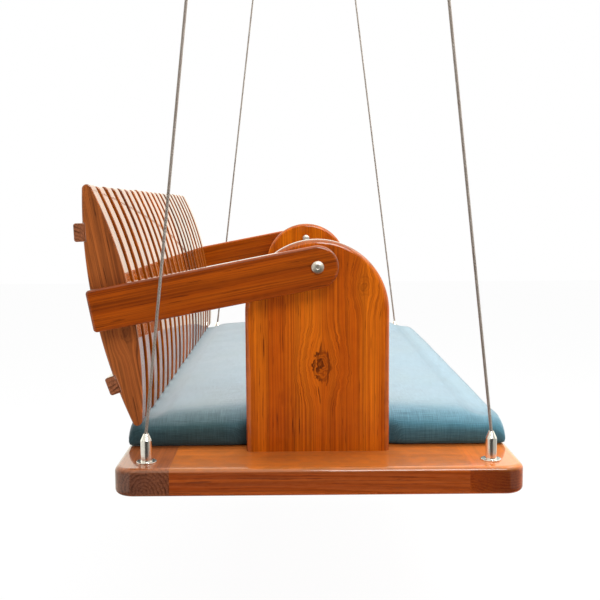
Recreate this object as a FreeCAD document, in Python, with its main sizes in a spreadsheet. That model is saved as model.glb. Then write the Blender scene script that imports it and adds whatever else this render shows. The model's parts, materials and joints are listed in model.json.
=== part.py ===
import FreeCAD, Part
import math
import os
import re

import Sketcher
from FreeCAD import Placement, Rotation, Vector

# A hanging seat (jhoola): a teak bench on four wire ropes, with a backrest that flips over the
# seat to face either way. X runs along the bench and Z is up. At rest the back lies towards +Y.
# Left and right are those of a sitter, so left is +X. The origin lies in the ceiling, midway
# between the two bars. Lengths are in millimetres and angles in degrees.

sizes = {
    # Bench
    "seat_length": 1524,
    "seat_width": 640,
    "seat_thickness": 44,
    "corner_radius": 32,
    "edge_bevel": 5,
    "long_rail_width": 88,
    "end_rail_margin": 10,
    "deck_thickness": 18,
    "deck_ledge": 20,
    "plank_gap": 4,
    "plank_end_gap": 0.3,
    "bearer_width": 60,
    "bearer_recess": 4,
    # Cushion
    "cushion_end_gap": 1.2,
    "cushion_float": 0.3,
    "cushion_inset": 10,
    "cushion_edge_height": 46,
    "cushion_crown": 11,
    "cushion_side_tuck": 6,
    "cushion_shoulder": 27,
    # Side panels
    "panel_width": 235,
    "panel_thickness": 37,
    "panel_inset": 103,
    "panel_edge_bevel": 2,
    "pivot_crown": 43,
    # Backrest
    "back_droop": 10.8,
    "foot_inset": 24.5,
    "foot_dip": 1.5,
    "slat_thickness": 38,
    "slat_depth": 63.2,
    "slat_front_radius": 760,
    "slat_back_radius": 850,
    "slat_nose_radius": 8,
    "back_rail_height": 30,
    "back_rail_depth": 17.5,
    "back_rail_let_in": 2.5,
    "back_rail_spacing": 252,
    "back_rail_bevel": 3,
    "arm_gap": 1.5,
    "arm_width": 68.5,
    "arm_thickness": 29,
    "arm_overhang": 2,
    "arm_edge_bevel": 2,
    # Joinery
    "joint_clearance": 0.1,
    "panel_tenon_width": 70,
    "panel_tenon_thickness": 14,
    "panel_tenon_bite": 22,
    "arm_tenon_width": 40,
    "arm_tenon_thickness": 14,
    "arm_tenon_bite": 14,
    # Pivot fastenings
    "pivot_shank_radius": 5,
    "pivot_clearance": 0.08,
    "pivot_head_radius": 10.2,
    "pivot_head_height": 5.5,
    "pivot_head_rim": 2.5,
    "pivot_play": 0.3,
    "pivot_tail": 3,
    "pivot_tail_room": 0.5,
    "pivot_washer_radius": 13,
    # Rope ends at the bench
    "anchor_end_inset": 45,
    "anchor_side_inset": 47.5,
    "ferrule_radius": 9,
    "ferrule_height": 46,
    "ferrule_cone": 11,
    "ferrule_tip_radius": 4,
    "flange_radius": 16,
    "flange_thickness": 2,
    "stud_radius": 5,
    "stud_overhang": 2,
    "nut_flats": 17,
    "nut_height": 8,
    "nut_sink_side": 28,
    "nut_sink_room": 2,
    # Ropes and eyes
    "rope_radius": 2.5,
    "rope_foot_float": 0.1,
    "rope_foot_cone": 1,
    "rope_rise": 1062,
    "rope_flare": 56,
    "rope_draw": 127.5,
    "eye_wall": 6,
    "eye_hole_radius": 10,
    "eye_thickness": 9,
    "eye_crown_gap": 0.6,
    "eye_barrel_radius": 4,
    "eye_barrel_length": 46,
    # Ceiling bars
    "pin_drop": 26,
    "pin_radius": 5,
    "front_play_shift": 2.3,
    "front_crown_gap": 1.7,
    "bar_width": 60,
    "bar_thickness": 6,
    "bar_end": 45,
    "bar_corner": 10,
    "bar_hole_radius": 4.5,
    "bar_hole_spacing": 200,
    "cheek_gap": 18,
    "cheek_thickness": 6,
    "cheek_top_half": 22,
    "cheek_foot_half": 13,
    "cheek_corner": 7,
    "match_tolerance": 0.3,
}

# Lengths that follow from the sizes, by name. Heights on the bench are measured from its deck,
# and the backrest's reaches from its pivot, along the arms.
derived = {
    "pin_level": "-pin_drop",
    "tip_level": "pin_level - rope_rise",
    "deck_level": "tip_level - ferrule_height",
    "anchor_x": "seat_length / 2 - anchor_end_inset",
    "anchor_y": "seat_width / 2 - anchor_side_inset",
    "pin_x": "anchor_x + rope_flare",
    "pin_y": "anchor_y - rope_draw",
    "fork_y": "pin_y + front_play_shift / 2",
    "run": "sqrt(rope_flare^2 + rope_draw^2 + rope_rise^2)",
    "panel_outer": "seat_length / 2 - panel_inset",
    "panel_inner": "panel_outer - panel_thickness",
    "panel_middle": "panel_outer - panel_thickness / 2",
    "arm_inner": "panel_outer + arm_gap",
    "arm_outer": "arm_inner + arm_thickness",
    "deck_half_width": "seat_width / 2 - long_rail_width",
    "deck_half_length": "panel_inner - end_rail_margin",
    "bearer_height": "seat_thickness - deck_thickness - bearer_recess",
    "cushion_half_length": "panel_inner - cushion_end_gap",
    "cushion_half_depth": "seat_width / 2 - cushion_inset",
    # The slats' two arcs, and the centres of the noses between them.
    "arcs_apart": "slat_front_radius + slat_back_radius - slat_depth",
    "nose_to_front": "slat_front_radius - slat_nose_radius",
    "nose_to_back": "slat_back_radius - slat_nose_radius",
    "nose_ahead": "(arcs_apart^2 + nose_to_back^2 - nose_to_front^2) / (2 * arcs_apart)",
    "nose_rise": "sqrt(nose_to_back^2 - nose_ahead^2)",
    "nose_behind_front": "slat_depth - slat_back_radius + nose_ahead",
    "front_turn": "asin(nose_rise / nose_to_front)",
    "back_turn": "asin(nose_rise / nose_to_back)",
    "nose_sweep": "(180 deg - front_turn - back_turn)",
    # The slats' feet stand just inside the bench's long edge and just clear of the cushion.
    "foot_y": "seat_width / 2 - foot_inset",
    "nose_reach": "(foot_y + nose_rise * sin(back_droop)) / cos(back_droop)",
    "slat_front_reach": "nose_reach - nose_behind_front",
    "slat_back_reach": "slat_front_reach + slat_depth",
    "slat_middle": "slat_front_reach + slat_depth / 2",
    "front_arc_center": "slat_front_reach + slat_front_radius",
    "back_arc_center": "slat_back_reach - slat_back_radius",
    "arm_length": "slat_back_reach + arm_overhang",
    "rail_turn": "asin(back_rail_spacing / 2 / slat_back_radius)",
    "foot_height": "cushion_float + cushion_edge_height - foot_dip",
    "foot_drop": "nose_reach * sin(back_droop) + nose_rise * cos(back_droop) + slat_nose_radius",
    "pivot_height": "foot_height + foot_drop",
    "panel_height": "pivot_height + pivot_crown",
    "pivot_level": "deck_level + pivot_height",
    "nut_sink": "nut_height + stud_overhang + nut_sink_room",
    "eye_outer_radius": "eye_hole_radius + eye_wall",
}

# Counts, and shares of the sizes above, chosen by hand.
plank_count = 4
slat_count = 20
nut_sides = 6
bearer_shares = (-0.5, 0.5)
nose_shares = (0, 0.33, 0.67, 1)
panel_tenon_shares = (-0.25, 0.25)
# Cushion sections, from the middle to one end: place along it, height and width, as shares.
cushion_section_shares = ((0, 1, 1), (0.6, 0.99, 1), (0.9, 0.94, 0.997), (0.965, 0.86, 0.99),
                          (0.99, 0.7, 0.98), (1, 0.5, 0.967))
# Cushion side, from its foot to the top: shares of the tuck, of the shoulder and of the height.
cushion_outline_shares = ((1, 0, 0), (0, 0, 0.33), (0.5, 0, 0.67), (0, 0.42, 0.9), (0, 1, 1))

doc = FreeCAD.newDocument("jhoola_swing")
sheet = doc.addObject("Spreadsheet::Sheet", "Sizes")
for row, (alias, number) in enumerate(sizes.items(), start=1):
    sheet.set(f"A{row}", alias)
    sheet.set(f"B{row}", str(number))
    sheet.setAlias(f"B{row}", alias)
doc.recompute()

sub_parts = {}


def formula(text):
    """Spell out the sizes and derived lengths named in text as the sheet's own cells."""
    def spell(match):
        word = match.group()
        if word in sizes:
            return "Sizes." + word
        if word in derived:
            return "(" + formula(derived[word]) + ")"
        return word
    return re.sub(r"[a-z_]+", spell, text)


def value(text):
    return float(sheet.evalExpression(formula(text)))


def bind(item, **formulas):
    for name, text in formulas.items():
        item.setExpression(name, formula(text))
    return item


def place(item, x="0", y="0", z="0", axis=None, turn="0"):
    """Put an object at x, y, z, turned about one axis, and keep both tied to the sheet."""
    item.Placement = Placement(Vector(), Rotation(axis or Vector(0, 0, 1), 1))
    for path, text in (("Base.x", x), ("Base.y", y), ("Base.z", z), ("Rotation.Angle", turn)):
        item.setExpression("Placement." + path, formula(text))
    return item


def sub_part(label, item):
    item.Label = label
    sub_parts[label] = item
    return item


def group(label, items):
    """Several equal solids that share one node."""
    compound = doc.addObject("Part::Compound", label)
    compound.Links = items
    return sub_part(label, compound)


# Building blocks

def new_body(label):
    return doc.addObject("PartDesign::Body", label)


def new_sketch(body, role):
    plane = next(item for item in body.Origin.OriginFeatures if item.Role == role)
    sketch = body.newObject("Sketcher::SketchObject", body.Name + "_sketch")
    sketch.AttachmentSupport = [(plane, "")]
    sketch.MapMode = "FlatFace"
    return sketch


def hold(sketch, kind, geometry, point, text):
    """Tie one coordinate of a sketch point to a formula, or lay it on the axis where it is 0."""
    if text == "0":
        axis = -2 if kind == "DistanceX" else -1
        sketch.addConstraint(Sketcher.Constraint("PointOnObject", geometry, point, axis))
        return
    index = sketch.addConstraint(Sketcher.Constraint(kind, geometry, point, value(text)))
    sketch.setExpression(f"Constraints[{index}]", formula(text))


def polygon(sketch, corners):
    """A closed outline through corners, each two formulas, held corner by corner."""
    spots = [Vector(value(across), value(up), 0) for across, up in corners]
    count = len(corners)
    lines = [sketch.addGeometry(Part.LineSegment(spots[i], spots[(i + 1) % count]), False)
             for i in range(count)]
    for i in range(count):
        sketch.addConstraint(Sketcher.Constraint("Coincident", lines[i], 2, lines[(i + 1) % count], 1))
        hold(sketch, "DistanceX", lines[i], 1, corners[i][0])
        hold(sketch, "DistanceY", lines[i], 1, corners[i][1])


def pad(body, sketch, length, midplane=False, backwards=False):
    feature = body.newObject("PartDesign::Pad", body.Name + "_pad")
    feature.Profile = sketch
    feature.SideType = "Symmetric" if midplane else "One side"
    feature.Reversed = backwards
    return bind(feature, Length=length)


def slab(label, role, corners, length, midplane=False, backwards=False):
    """A padded polygon."""
    body = new_body(label)
    sketch = new_sketch(body, role)
    polygon(sketch, corners)
    pad(body, sketch, length, midplane, backwards)
    return body


def turned(label, corners):
    """A solid of revolution about Z, from corners given as radius and height."""
    body = new_body(label)
    sketch = new_sketch(body, "XZ_Plane")
    polygon(sketch, corners)
    feature = body.newObject("PartDesign::Revolution", body.Name + "_revolution")
    feature.Profile = sketch
    feature.ReferenceAxis = (sketch, ["V_Axis"])
    return body


def bore(body, radius, length, x="0", y="0", z="0", along="Z"):
    """Cut a round hole that starts at x, y, z and runs towards +Z or +X."""
    feature = body.newObject("PartDesign::SubtractiveCylinder", body.Name + "_bore")
    bind(feature, Radius=radius, Height=length)
    place(feature, x, y, z, Vector(0, 1, 0), "90" if along == "X" else "0")
    return feature


def pocket(body, length, width, height, x="0", y="0", z="0"):
    """Cut a box, placed by its centre."""
    feature = body.newObject("PartDesign::SubtractiveBox", body.Name + "_pocket")
    bind(feature, Length=length, Width=width, Height=height)
    return place(feature, f"{x} - ({length}) / 2", f"{y} - ({width}) / 2", f"{z} - ({height}) / 2")


def soften(body, kind, size, choose):
    """Round or bevel the edges of a body's last feature that choose picks."""
    doc.recompute()
    base = body.Tip
    names = [f"Edge{i}" for i, edge in enumerate(base.Shape.Edges, start=1) if choose(edge)]
    feature = body.newObject("PartDesign::" + kind, body.Name + "_" + kind.lower())
    feature.Base = (base, names)
    bind(feature, **{"Radius" if kind == "Fillet" else "Size": size})
    return feature


def middle(edge):
    return edge.valueAt((edge.FirstParameter + edge.LastParameter) / 2)


def near(one, other):
    return abs(one - other) < value("match_tolerance")


# Bench

def bench_edge(body):
    """Bevel the long edges round the outside of the bench, but not those along a joint."""
    end, side = value("seat_length / 2"), value("seat_width / 2")
    corner = value("corner_radius")
    faces = (0, value("-seat_thickness"))

    def outside(edge):
        spot = middle(edge)
        beyond = abs(spot.x) > end - corner and abs(spot.y) > side - corner
        level = any(near(spot.z, height) for height in faces)
        return level and (near(abs(spot.x), end) or near(abs(spot.y), side) or beyond)
    soften(body, "Chamfer", "edge_bevel", outside)


def anchor_hole(body, x, y):
    """The stud's hole through a long rail, and the square sink for its nut."""
    bore(body, "stud_radius + joint_clearance", "seat_thickness", x, y, "-seat_thickness")
    pocket(body, "nut_sink_side", "nut_sink_side", "nut_sink", x, y, "nut_sink / 2 - seat_thickness")


def long_rail(label, side):
    """A full length rail with rounded outer corners."""
    outer = f"{side} * seat_width / 2"
    inner = f"{side} * deck_half_width"
    ends = ("-seat_length / 2", "seat_length / 2")
    body = slab(label, "XY_Plane", [(ends[0], inner), (ends[1], inner), (ends[1], outer),
                                    (ends[0], outer)], "seat_thickness", backwards=True)
    half = value("seat_width / 2")
    soften(body, "Fillet", "corner_radius", lambda edge: near(abs(middle(edge).y), half)
           and near(middle(edge).z, value("-seat_thickness / 2")))
    bench_edge(body)
    for end in ("-", ""):
        anchor_hole(body, end + "anchor_x", f"{side} * anchor_y")
    return sub_part(label, place(body, z="deck_level"))


def end_rail(label, side):
    """A cross rail between the long rails, with a ledge under the planks' ends."""
    face, inner, ledge = (f"{side} * {text}" for text in
                          ("seat_length / 2", "deck_half_length", "(deck_half_length - deck_ledge)"))
    profile = [(face, "0"), (inner, "0"), (inner, "-deck_thickness"), (ledge, "-deck_thickness"),
               (ledge, "-seat_thickness"), (face, "-seat_thickness")]
    body = slab(label, "XZ_Plane", profile, "2 * deck_half_width", midplane=True)
    bench_edge(body)
    for share in panel_tenon_shares:
        pocket(body, "panel_tenon_thickness + 2 * joint_clearance",
               "panel_tenon_width + 2 * joint_clearance",
               "2 * (panel_tenon_bite + joint_clearance)",
               f"{side} * panel_middle", f"{share} * panel_width")
    return sub_part(label, place(body, z="deck_level"))


def block(label, length, width, height, x="0", y="0", z="0"):
    """A squared timber, placed by its centre."""
    item = doc.addObject("Part::Box", label)
    bind(item, Length=length, Width=width, Height=height)
    return place(item, f"{x} - ({length}) / 2", f"{y} - ({width}) / 2", f"{z} - ({height}) / 2")


def deck():
    """Planks along the bench on two bearers, flush with the rails."""
    pitch = f"((2 * deck_half_width - plank_gap) / {plank_count})"
    for index in range(plank_count):
        label = f"deck_plank_{index + 1}"
        plank = block(label, "2 * (deck_half_length - plank_end_gap)", f"({pitch} - plank_gap)",
                      "deck_thickness", y=f"{index - (plank_count - 1) / 2} * {pitch}",
                      z="deck_level - deck_thickness / 2")
        sub_part(label, plank)
    for index, share in enumerate(bearer_shares, start=1):
        label = f"cross_bearer_{index}"
        bearer = block(label, "bearer_width", "2 * deck_half_width", "bearer_height",
                       x=f"{share} * deck_half_length",
                       z="deck_level - deck_thickness - bearer_height / 2")
        sub_part(label, bearer)


def cushion_section(along_share, height_share, width_share):
    """One outline across the cushion: flat under, tucked sides, round shoulders, a low crown."""
    x = along_share * value("cushion_half_length")
    half = width_share * value("cushion_half_depth")
    tuck = value("cushion_side_tuck")
    shoulder = value("cushion_shoulder")
    edge = height_share * value("cushion_edge_height")
    top = height_share * value("cushion_edge_height + cushion_crown")

    def spot(across, up):
        return Vector(x, across, up)

    outline = [(half - in_share * tuck - round_share * shoulder, up_share * edge)
               for in_share, round_share, up_share in cushion_outline_shares]
    right = [spot(across, up) for across, up in outline]
    left = [spot(-across, up) for across, up in reversed(outline)]
    curves = [Part.LineSegment(left[-1], right[0]), Part.Arc(*right[0:3]), Part.Arc(*right[2:5]),
              Part.Arc(right[-1], spot(0, top), left[0]), Part.Arc(*left[0:3]), Part.Arc(*left[2:5])]
    return Part.Wire([curve.toShape() for curve in curves])


def cushion():
    far_end = [cushion_section(*shares) for shares in cushion_section_shares]
    near_end = [cushion_section(-along, up, across)
                for along, up, across in cushion_section_shares[:0:-1]]
    item = doc.addObject("Part::Feature", "cushion")
    item.Shape = Part.makeLoft(near_end + far_end, True, True)
    return sub_part("cushion", place(item, z="deck_level + cushion_float"))


# Side panels

def side_panel(label, side):
    """An upright board with a half round top, bevelled round its outer face."""
    body = new_body(label)
    sketch = new_sketch(body, "YZ_Plane")
    half = value("panel_width / 2")
    spring = value("panel_height - panel_width / 2")
    corners = [Vector(-half, 0, 0), Vector(half, 0, 0), Vector(half, spring, 0), Vector(-half, spring, 0)]
    crown = Part.Circle(Vector(0, spring, 0), Vector(0, 0, 1), half)
    base = sketch.addGeometry(Part.LineSegment(corners[0], corners[1]), False)
    right = sketch.addGeometry(Part.LineSegment(corners[1], corners[2]), False)
    arc = sketch.addGeometry(Part.ArcOfCircle(crown, 0, math.pi), False)
    left = sketch.addGeometry(Part.LineSegment(corners[3], corners[0]), False)
    sketch.addConstraint([
        Sketcher.Constraint("Coincident", base, 2, right, 1),
        Sketcher.Constraint("Tangent", right, 2, arc, 1),
        Sketcher.Constraint("Tangent", arc, 2, left, 1),
        Sketcher.Constraint("Coincident", left, 2, base, 1),
        Sketcher.Constraint("Vertical", right),
        Sketcher.Constraint("Vertical", left),
    ])
    hold(sketch, "DistanceX", base, 1, "-panel_width / 2")
    hold(sketch, "DistanceX", base, 2, "panel_width / 2")
    hold(sketch, "DistanceY", base, 1, "0")
    hold(sketch, "DistanceY", base, 2, "0")
    hold(sketch, "DistanceY", arc, 3, "panel_height - panel_width / 2")
    pad(body, sketch, "panel_thickness", backwards=side < 0)
    thickness = value("panel_thickness")
    soften(body, "Chamfer", "panel_edge_bevel", lambda edge: not near(middle(edge).z, 0)
           and near(abs(middle(edge).x), thickness))
    start = "0" if side > 0 else "-panel_thickness"
    bore(body, "pivot_shank_radius + pivot_clearance", "panel_thickness", start, z="pivot_height",
         along="X")
    for share in panel_tenon_shares:
        pocket(body, "panel_tenon_thickness + 2 * joint_clearance",
               "panel_tenon_width + 2 * joint_clearance",
               "2 * (panel_tenon_bite + joint_clearance)",
               f"{side} * panel_thickness / 2", f"{share} * panel_width")
    return sub_part(label, place(body, f"{side} * panel_inner", z="deck_level"))


def panel_tenon(side, share):
    """A loose tenon, half in the end rail and half in the foot of the panel."""
    return block("panel_tenon", "panel_tenon_thickness", "panel_tenon_width", "2 * panel_tenon_bite",
                 f"{side} * panel_middle", f"{share} * panel_width", "deck_level")


# Pivot fastenings, turned about Z and then laid along X with their heads outwards

def lay_outwards(body, side, x):
    return place(body, f"{side} * ({x})", "0", "pivot_level", Vector(0, 1, 0), f"{side} * 90")


def head_corners(sign):
    """The low cone of the bolt's head or the nut's cap, from its rim to its middle."""
    return [("pivot_head_radius", "0"), ("pivot_head_radius", f"{sign} * pivot_head_rim"),
            ("0", f"{sign} * pivot_head_height")]


def pivot_bolt(side):
    tail = "panel_inner - pivot_tail - arm_outer - pivot_play"
    body = turned("pivot_bolt", [("0", tail), ("pivot_shank_radius", tail),
                                 ("pivot_shank_radius", "0")] + head_corners(1))
    return lay_outwards(body, side, "arm_outer + pivot_play")


def pivot_nut(side):
    """The cap nut on the panel's inner face."""
    bottom = "-pivot_tail - pivot_tail_room"
    inner = "pivot_shank_radius + pivot_clearance"
    body = turned("pivot_nut", [("0", bottom), (inner, bottom), (inner, "0")] + head_corners(-1))
    return lay_outwards(body, side, "panel_inner")


def pivot_washer(side):
    inner, thick = "pivot_shank_radius + pivot_clearance", "arm_gap - pivot_play"
    body = turned("pivot_washer", [(inner, "0"), ("pivot_washer_radius", "0"),
                                   ("pivot_washer_radius", thick), (inner, thick)])
    return lay_outwards(body, side, "panel_outer")


# Backrest, modelled with its pivot at the origin and its arms level, then laid down by the droop

def on_back(body, x="0"):
    return place(body, x, "0", "pivot_level", Vector(1, 0, 0), "-back_droop")


def arm_pocket(body, x):
    """Room for the loose tenon between an arm and the end slat, centred on their joint."""
    pocket(body, "2 * (arm_tenon_bite + joint_clearance)", "arm_tenon_width + 2 * joint_clearance",
           "arm_tenon_thickness + 2 * joint_clearance", x, "slat_middle")


def arm(label, side):
    """A straight arm with a round end about the pivot and a square end behind the slats."""
    body = new_body(label)
    sketch = new_sketch(body, "YZ_Plane")
    half = value("arm_width / 2")
    reach = value("arm_length")
    corners = [Vector(0, -half, 0), Vector(reach, -half, 0), Vector(reach, half, 0), Vector(0, half, 0)]
    lines = [sketch.addGeometry(Part.LineSegment(corners[i], corners[i + 1]), False) for i in range(3)]
    nose = Part.Circle(Vector(0, 0, 0), Vector(0, 0, 1), half)
    arc = sketch.addGeometry(Part.ArcOfCircle(nose, math.pi / 2, math.pi * 3 / 2), False)
    sketch.addConstraint([
        Sketcher.Constraint("Coincident", lines[0], 2, lines[1], 1),
        Sketcher.Constraint("Coincident", lines[1], 2, lines[2], 1),
        Sketcher.Constraint("Tangent", lines[2], 2, arc, 1),
        Sketcher.Constraint("Tangent", arc, 2, lines[0], 1),
        Sketcher.Constraint("Coincident", arc, 3, -1, 1),
        Sketcher.Constraint("Horizontal", lines[0]),
        Sketcher.Constraint("Horizontal", lines[2]),
        Sketcher.Constraint("Vertical", lines[1]),
    ])
    hold(sketch, "DistanceX", lines[1], 1, "arm_length")
    hold(sketch, "DistanceY", lines[1], 1, "-arm_width / 2")
    pad(body, sketch, "arm_thickness", backwards=side < 0)
    thickness = value("arm_thickness")
    soften(body, "Chamfer", "arm_edge_bevel", lambda edge: near(middle(edge).x, 0)
           or near(abs(middle(edge).x), thickness))
    start = "0" if side > 0 else "-arm_thickness"
    bore(body, "pivot_shank_radius + pivot_clearance", "arm_thickness", start, along="X")
    arm_pocket(body, "0")
    return sub_part(label, on_back(body, f"{side} * arm_inner"))


def arm_tenon(side):
    """A loose tenon, half in the arm and half in the end slat."""
    body = new_body("arm_tenon")
    feature = body.newObject("PartDesign::AdditiveBox", "tenon")
    bind(feature, Length="2 * arm_tenon_bite", Width="arm_tenon_width", Height="arm_tenon_thickness")
    place(feature, "-arm_tenon_bite", "slat_middle - arm_tenon_width / 2", "-arm_tenon_thickness / 2")
    return on_back(body, f"{side} * arm_inner")


def nose_corner(side, share):
    """A point part of the way round a slat's tip, from the back arc to the front one."""
    turn = f"(back_turn + {share} * nose_sweep)"
    return (f"(nose_reach + slat_nose_radius * cos({turn}))",
            f"{side} * (nose_rise + slat_nose_radius * sin({turn}))")


def slat_outline(sketch):
    """A lens between two large arcs, with three flats round each tip."""
    def arc(center, radius, middle_turn, half_turn):
        circle = Part.Circle(Vector(value(center), 0, 0), Vector(0, 0, 1), value(radius))
        reach = math.radians(value(half_turn))
        curve = sketch.addGeometry(Part.ArcOfCircle(circle, middle_turn - reach, middle_turn + reach), False)
        hold(sketch, "DistanceX", curve, 3, center)
        hold(sketch, "DistanceY", curve, 3, "0")
        index = sketch.addConstraint(Sketcher.Constraint("Radius", curve, value(radius)))
        sketch.setExpression(f"Constraints[{index}]", formula(radius))
        return curve

    back = arc("back_arc_center", "slat_back_radius", 0, "back_turn")
    front = arc("front_arc_center", "slat_front_radius", math.pi, "front_turn")
    for side, back_end, front_end in ((1, 2, 1), (-1, 1, 2)):
        corners = [nose_corner(side, share) for share in nose_shares]
        spots = [Vector(value(along), value(up), 0) for along, up in corners]
        lines = [sketch.addGeometry(Part.LineSegment(one, other), False)
                 for one, other in zip(spots, spots[1:])]
        hold(sketch, "DistanceY", back, back_end, corners[0][1])
        hold(sketch, "DistanceY", front, front_end, corners[-1][1])
        sketch.addConstraint(Sketcher.Constraint("Coincident", back, back_end, lines[0], 1))
        sketch.addConstraint(Sketcher.Constraint("Coincident", front, front_end, lines[-1], 2))
        for line, after, (along, up) in zip(lines, lines[1:], corners[1:]):
            sketch.addConstraint(Sketcher.Constraint("Coincident", line, 2, after, 1))
            hold(sketch, "DistanceX", after, 1, along)
            hold(sketch, "DistanceY", after, 1, up)


def rail_block(body, kind, side, length, slack):
    """The block of a back rail, or of its shallow notch, square to the slats' back arc."""
    feature = body.newObject("PartDesign::" + kind, body.Name + "_block")
    bind(feature, Length=length, Width=f"back_rail_depth + 2 * {slack}",
         Height=f"back_rail_height + 2 * {slack}")
    low = f"(-back_rail_height / 2 - {slack})"
    inward = f"(slat_back_radius - back_rail_let_in - {slack})"
    turn = f"({side} * rail_turn)"
    place(feature, f"-({length}) / 2",
          f"back_arc_center + {inward} * cos({turn}) - {low} * sin({turn})",
          f"{inward} * sin({turn}) + {low} * cos({turn})", Vector(1, 0, 0), turn)
    return feature


def slat(index):
    """One lens shaped slat, notched for both back rails; the end ones take the arms' tenons."""
    label = f"back_slat_{index + 1:02d}"
    body = new_body(label)
    sketch = new_sketch(body, "YZ_Plane")
    slat_outline(sketch)
    pad(body, sketch, "slat_thickness", midplane=True)
    for side in (-1, 1):
        rail_block(body, "SubtractiveBox", side, "2 * slat_thickness", "joint_clearance")
    end = {0: -1, slat_count - 1: 1}.get(index)
    if end:
        arm_pocket(body, f"{end} * slat_thickness / 2")
    share = 2 * index / (slat_count - 1) - 1
    return sub_part(label, on_back(body, f"{share} * (arm_inner - slat_thickness / 2)"))


def back_rail(label, side):
    """A flat rail let a little way into the backs of all the slats, bevelled behind."""
    body = new_body(label)
    rail_block(body, "AdditiveBox", side, "2 * arm_inner", "0 * joint_clearance")
    center, radius = value("back_arc_center"), value("slat_back_radius")
    soften(body, "Chamfer", "back_rail_bevel", lambda edge: near(middle(edge).x, 0)
           and math.hypot(middle(edge).y - center, middle(edge).z) > radius)
    return sub_part(label, on_back(body))


# Rope ends at the bench

def ferrule(x, y):
    """A turned ferrule with a flange and a cone, and its stud down through the rail."""
    low = "nut_sink_room - seat_thickness"
    body = turned("ferrule", [
        ("0", low), ("stud_radius", low), ("stud_radius", "0"), ("flange_radius", "0"),
        ("flange_radius", "flange_thickness"), ("ferrule_radius", "flange_thickness"),
        ("ferrule_radius", "ferrule_height - ferrule_cone"), ("ferrule_tip_radius", "ferrule_height"),
        ("0", "ferrule_height")])
    return place(body, x, y, "deck_level")


def anchor_nut(x, y):
    """A six sided nut, drawn up against the roof of the rail's sink."""
    prism = doc.addObject("Part::Prism", "nut_block")
    prism.Polygon = nut_sides
    bind(prism, Circumradius=f"nut_flats / 2 / cos({180 / nut_sides})", Height="nut_height")
    hole = doc.addObject("Part::Cylinder", "nut_hole")
    bind(hole, Radius="stud_radius + joint_clearance", Height="nut_height")
    nut = doc.addObject("Part::Cut", "anchor_nut")
    nut.Base, nut.Tool = prism, hole
    return place(nut, x, y, "deck_level - seat_thickness + nut_sink - nut_height")


# Ropes, made along Z, then leaned from the ferrules' tips to the bars' pins

def lean(body, end, side, x, y, z):
    """Put a rope's part at a point and lean it along the rope."""
    axis = Vector(side * value("rope_draw"), end * value("rope_flare"), 0)
    return place(body, f"{end} * {x}", f"{side} * {y}", z, axis, "acos(rope_rise / run)")


def eye_drop(gap):
    """How far the eye's hole hangs below the pin's axis."""
    return f"(eye_hole_radius - pin_radius - {gap})"


def rope(label, end, side, gap):
    """A straight rope whose foot is a low cone, so that it can tilt on the ferrule's tip."""
    rim = "rope_foot_float + rope_foot_cone"
    top = f"run - {eye_drop(gap)} - eye_outer_radius - eye_barrel_length"
    body = turned(label, [("0", "rope_foot_float"), ("rope_radius", rim), ("rope_radius", top),
                          ("0", top)])
    return sub_part(label, lean(body, end, side, "anchor_x", "anchor_y", "tip_level"))


def rope_eye(end, side, gap):
    """A swaged end: a barrel on the rope, and a flat ring that hangs on the pin."""
    center = f"(-{eye_drop(gap)})"
    foot = f"{center} - eye_outer_radius - eye_barrel_length"
    throat = f"{center} - eye_hole_radius - eye_wall / 2"
    body = turned("rope_eye", [("0", foot), ("eye_barrel_radius", foot),
                               ("eye_barrel_radius", throat), ("0", throat)])
    sketch = new_sketch(body, "YZ_Plane")
    for text in ("eye_outer_radius", "eye_hole_radius"):
        ring = Part.Circle(Vector(0, value(center), 0), Vector(0, 0, 1), value(text))
        circle = sketch.addGeometry(ring, False)
        hold(sketch, "DistanceX", circle, 3, "0")
        hold(sketch, "DistanceY", circle, 3, center)
        index = sketch.addConstraint(Sketcher.Constraint("Radius", circle, value(text)))
        sketch.setExpression(f"Constraints[{index}]", formula(text))
    pad(body, sketch, "eye_thickness", midplane=True)
    return lean(body, end, side, "pin_x", "pin_y", "pin_level")


# Ceiling bars

def ceiling_bar(label, end):
    """A bar with two screw holes, and a fork with a cross pin near each end."""
    side, reach = "bar_width / 2", "(fork_y + bar_end)"
    body = slab(label, "XY_Plane", [("-" + side, "-" + reach), (side, "-" + reach), (side, reach),
                                    ("-" + side, reach)], "bar_thickness", backwards=True)
    thickness = value("bar_thickness")
    soften(body, "Chamfer", "bar_corner", lambda edge: near(middle(edge).z, -thickness / 2))
    root, foot = "-bar_thickness / 2", "pin_level - cheek_foot_half"
    for row in (-1, 1):
        center = f"{row} * fork_y"
        for cheek in (-1, 1):
            sketch = new_sketch(body, "YZ_Plane")
            polygon(sketch, [
                (f"{center} - cheek_top_half", root),
                (f"{center} - cheek_foot_half", f"{foot} + cheek_corner"),
                (f"{center} - cheek_foot_half + cheek_corner", foot),
                (f"{center} + cheek_foot_half - cheek_corner", foot),
                (f"{center} + cheek_foot_half", f"{foot} + cheek_corner"),
                (f"{center} + cheek_top_half", root)])
            offset = f"{cheek} * (cheek_gap + cheek_thickness) / 2"
            sketch.setExpression("AttachmentOffset.Base.z", formula(offset))
            pad(body, sketch, "cheek_thickness", midplane=True)
        pin = body.newObject("PartDesign::AdditiveCylinder", "pin")
        bind(pin, Radius="pin_radius", Height="cheek_gap + cheek_thickness")
        place(pin, "-(cheek_gap + cheek_thickness) / 2", center, "pin_level", Vector(0, 1, 0), "90")
        bore(body, "bar_hole_radius", "bar_thickness", y=f"{row} * bar_hole_spacing / 2",
             z="-bar_thickness")
    return sub_part(label, place(body, f"{end} * pin_x", "-front_play_shift / 2"))


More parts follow.
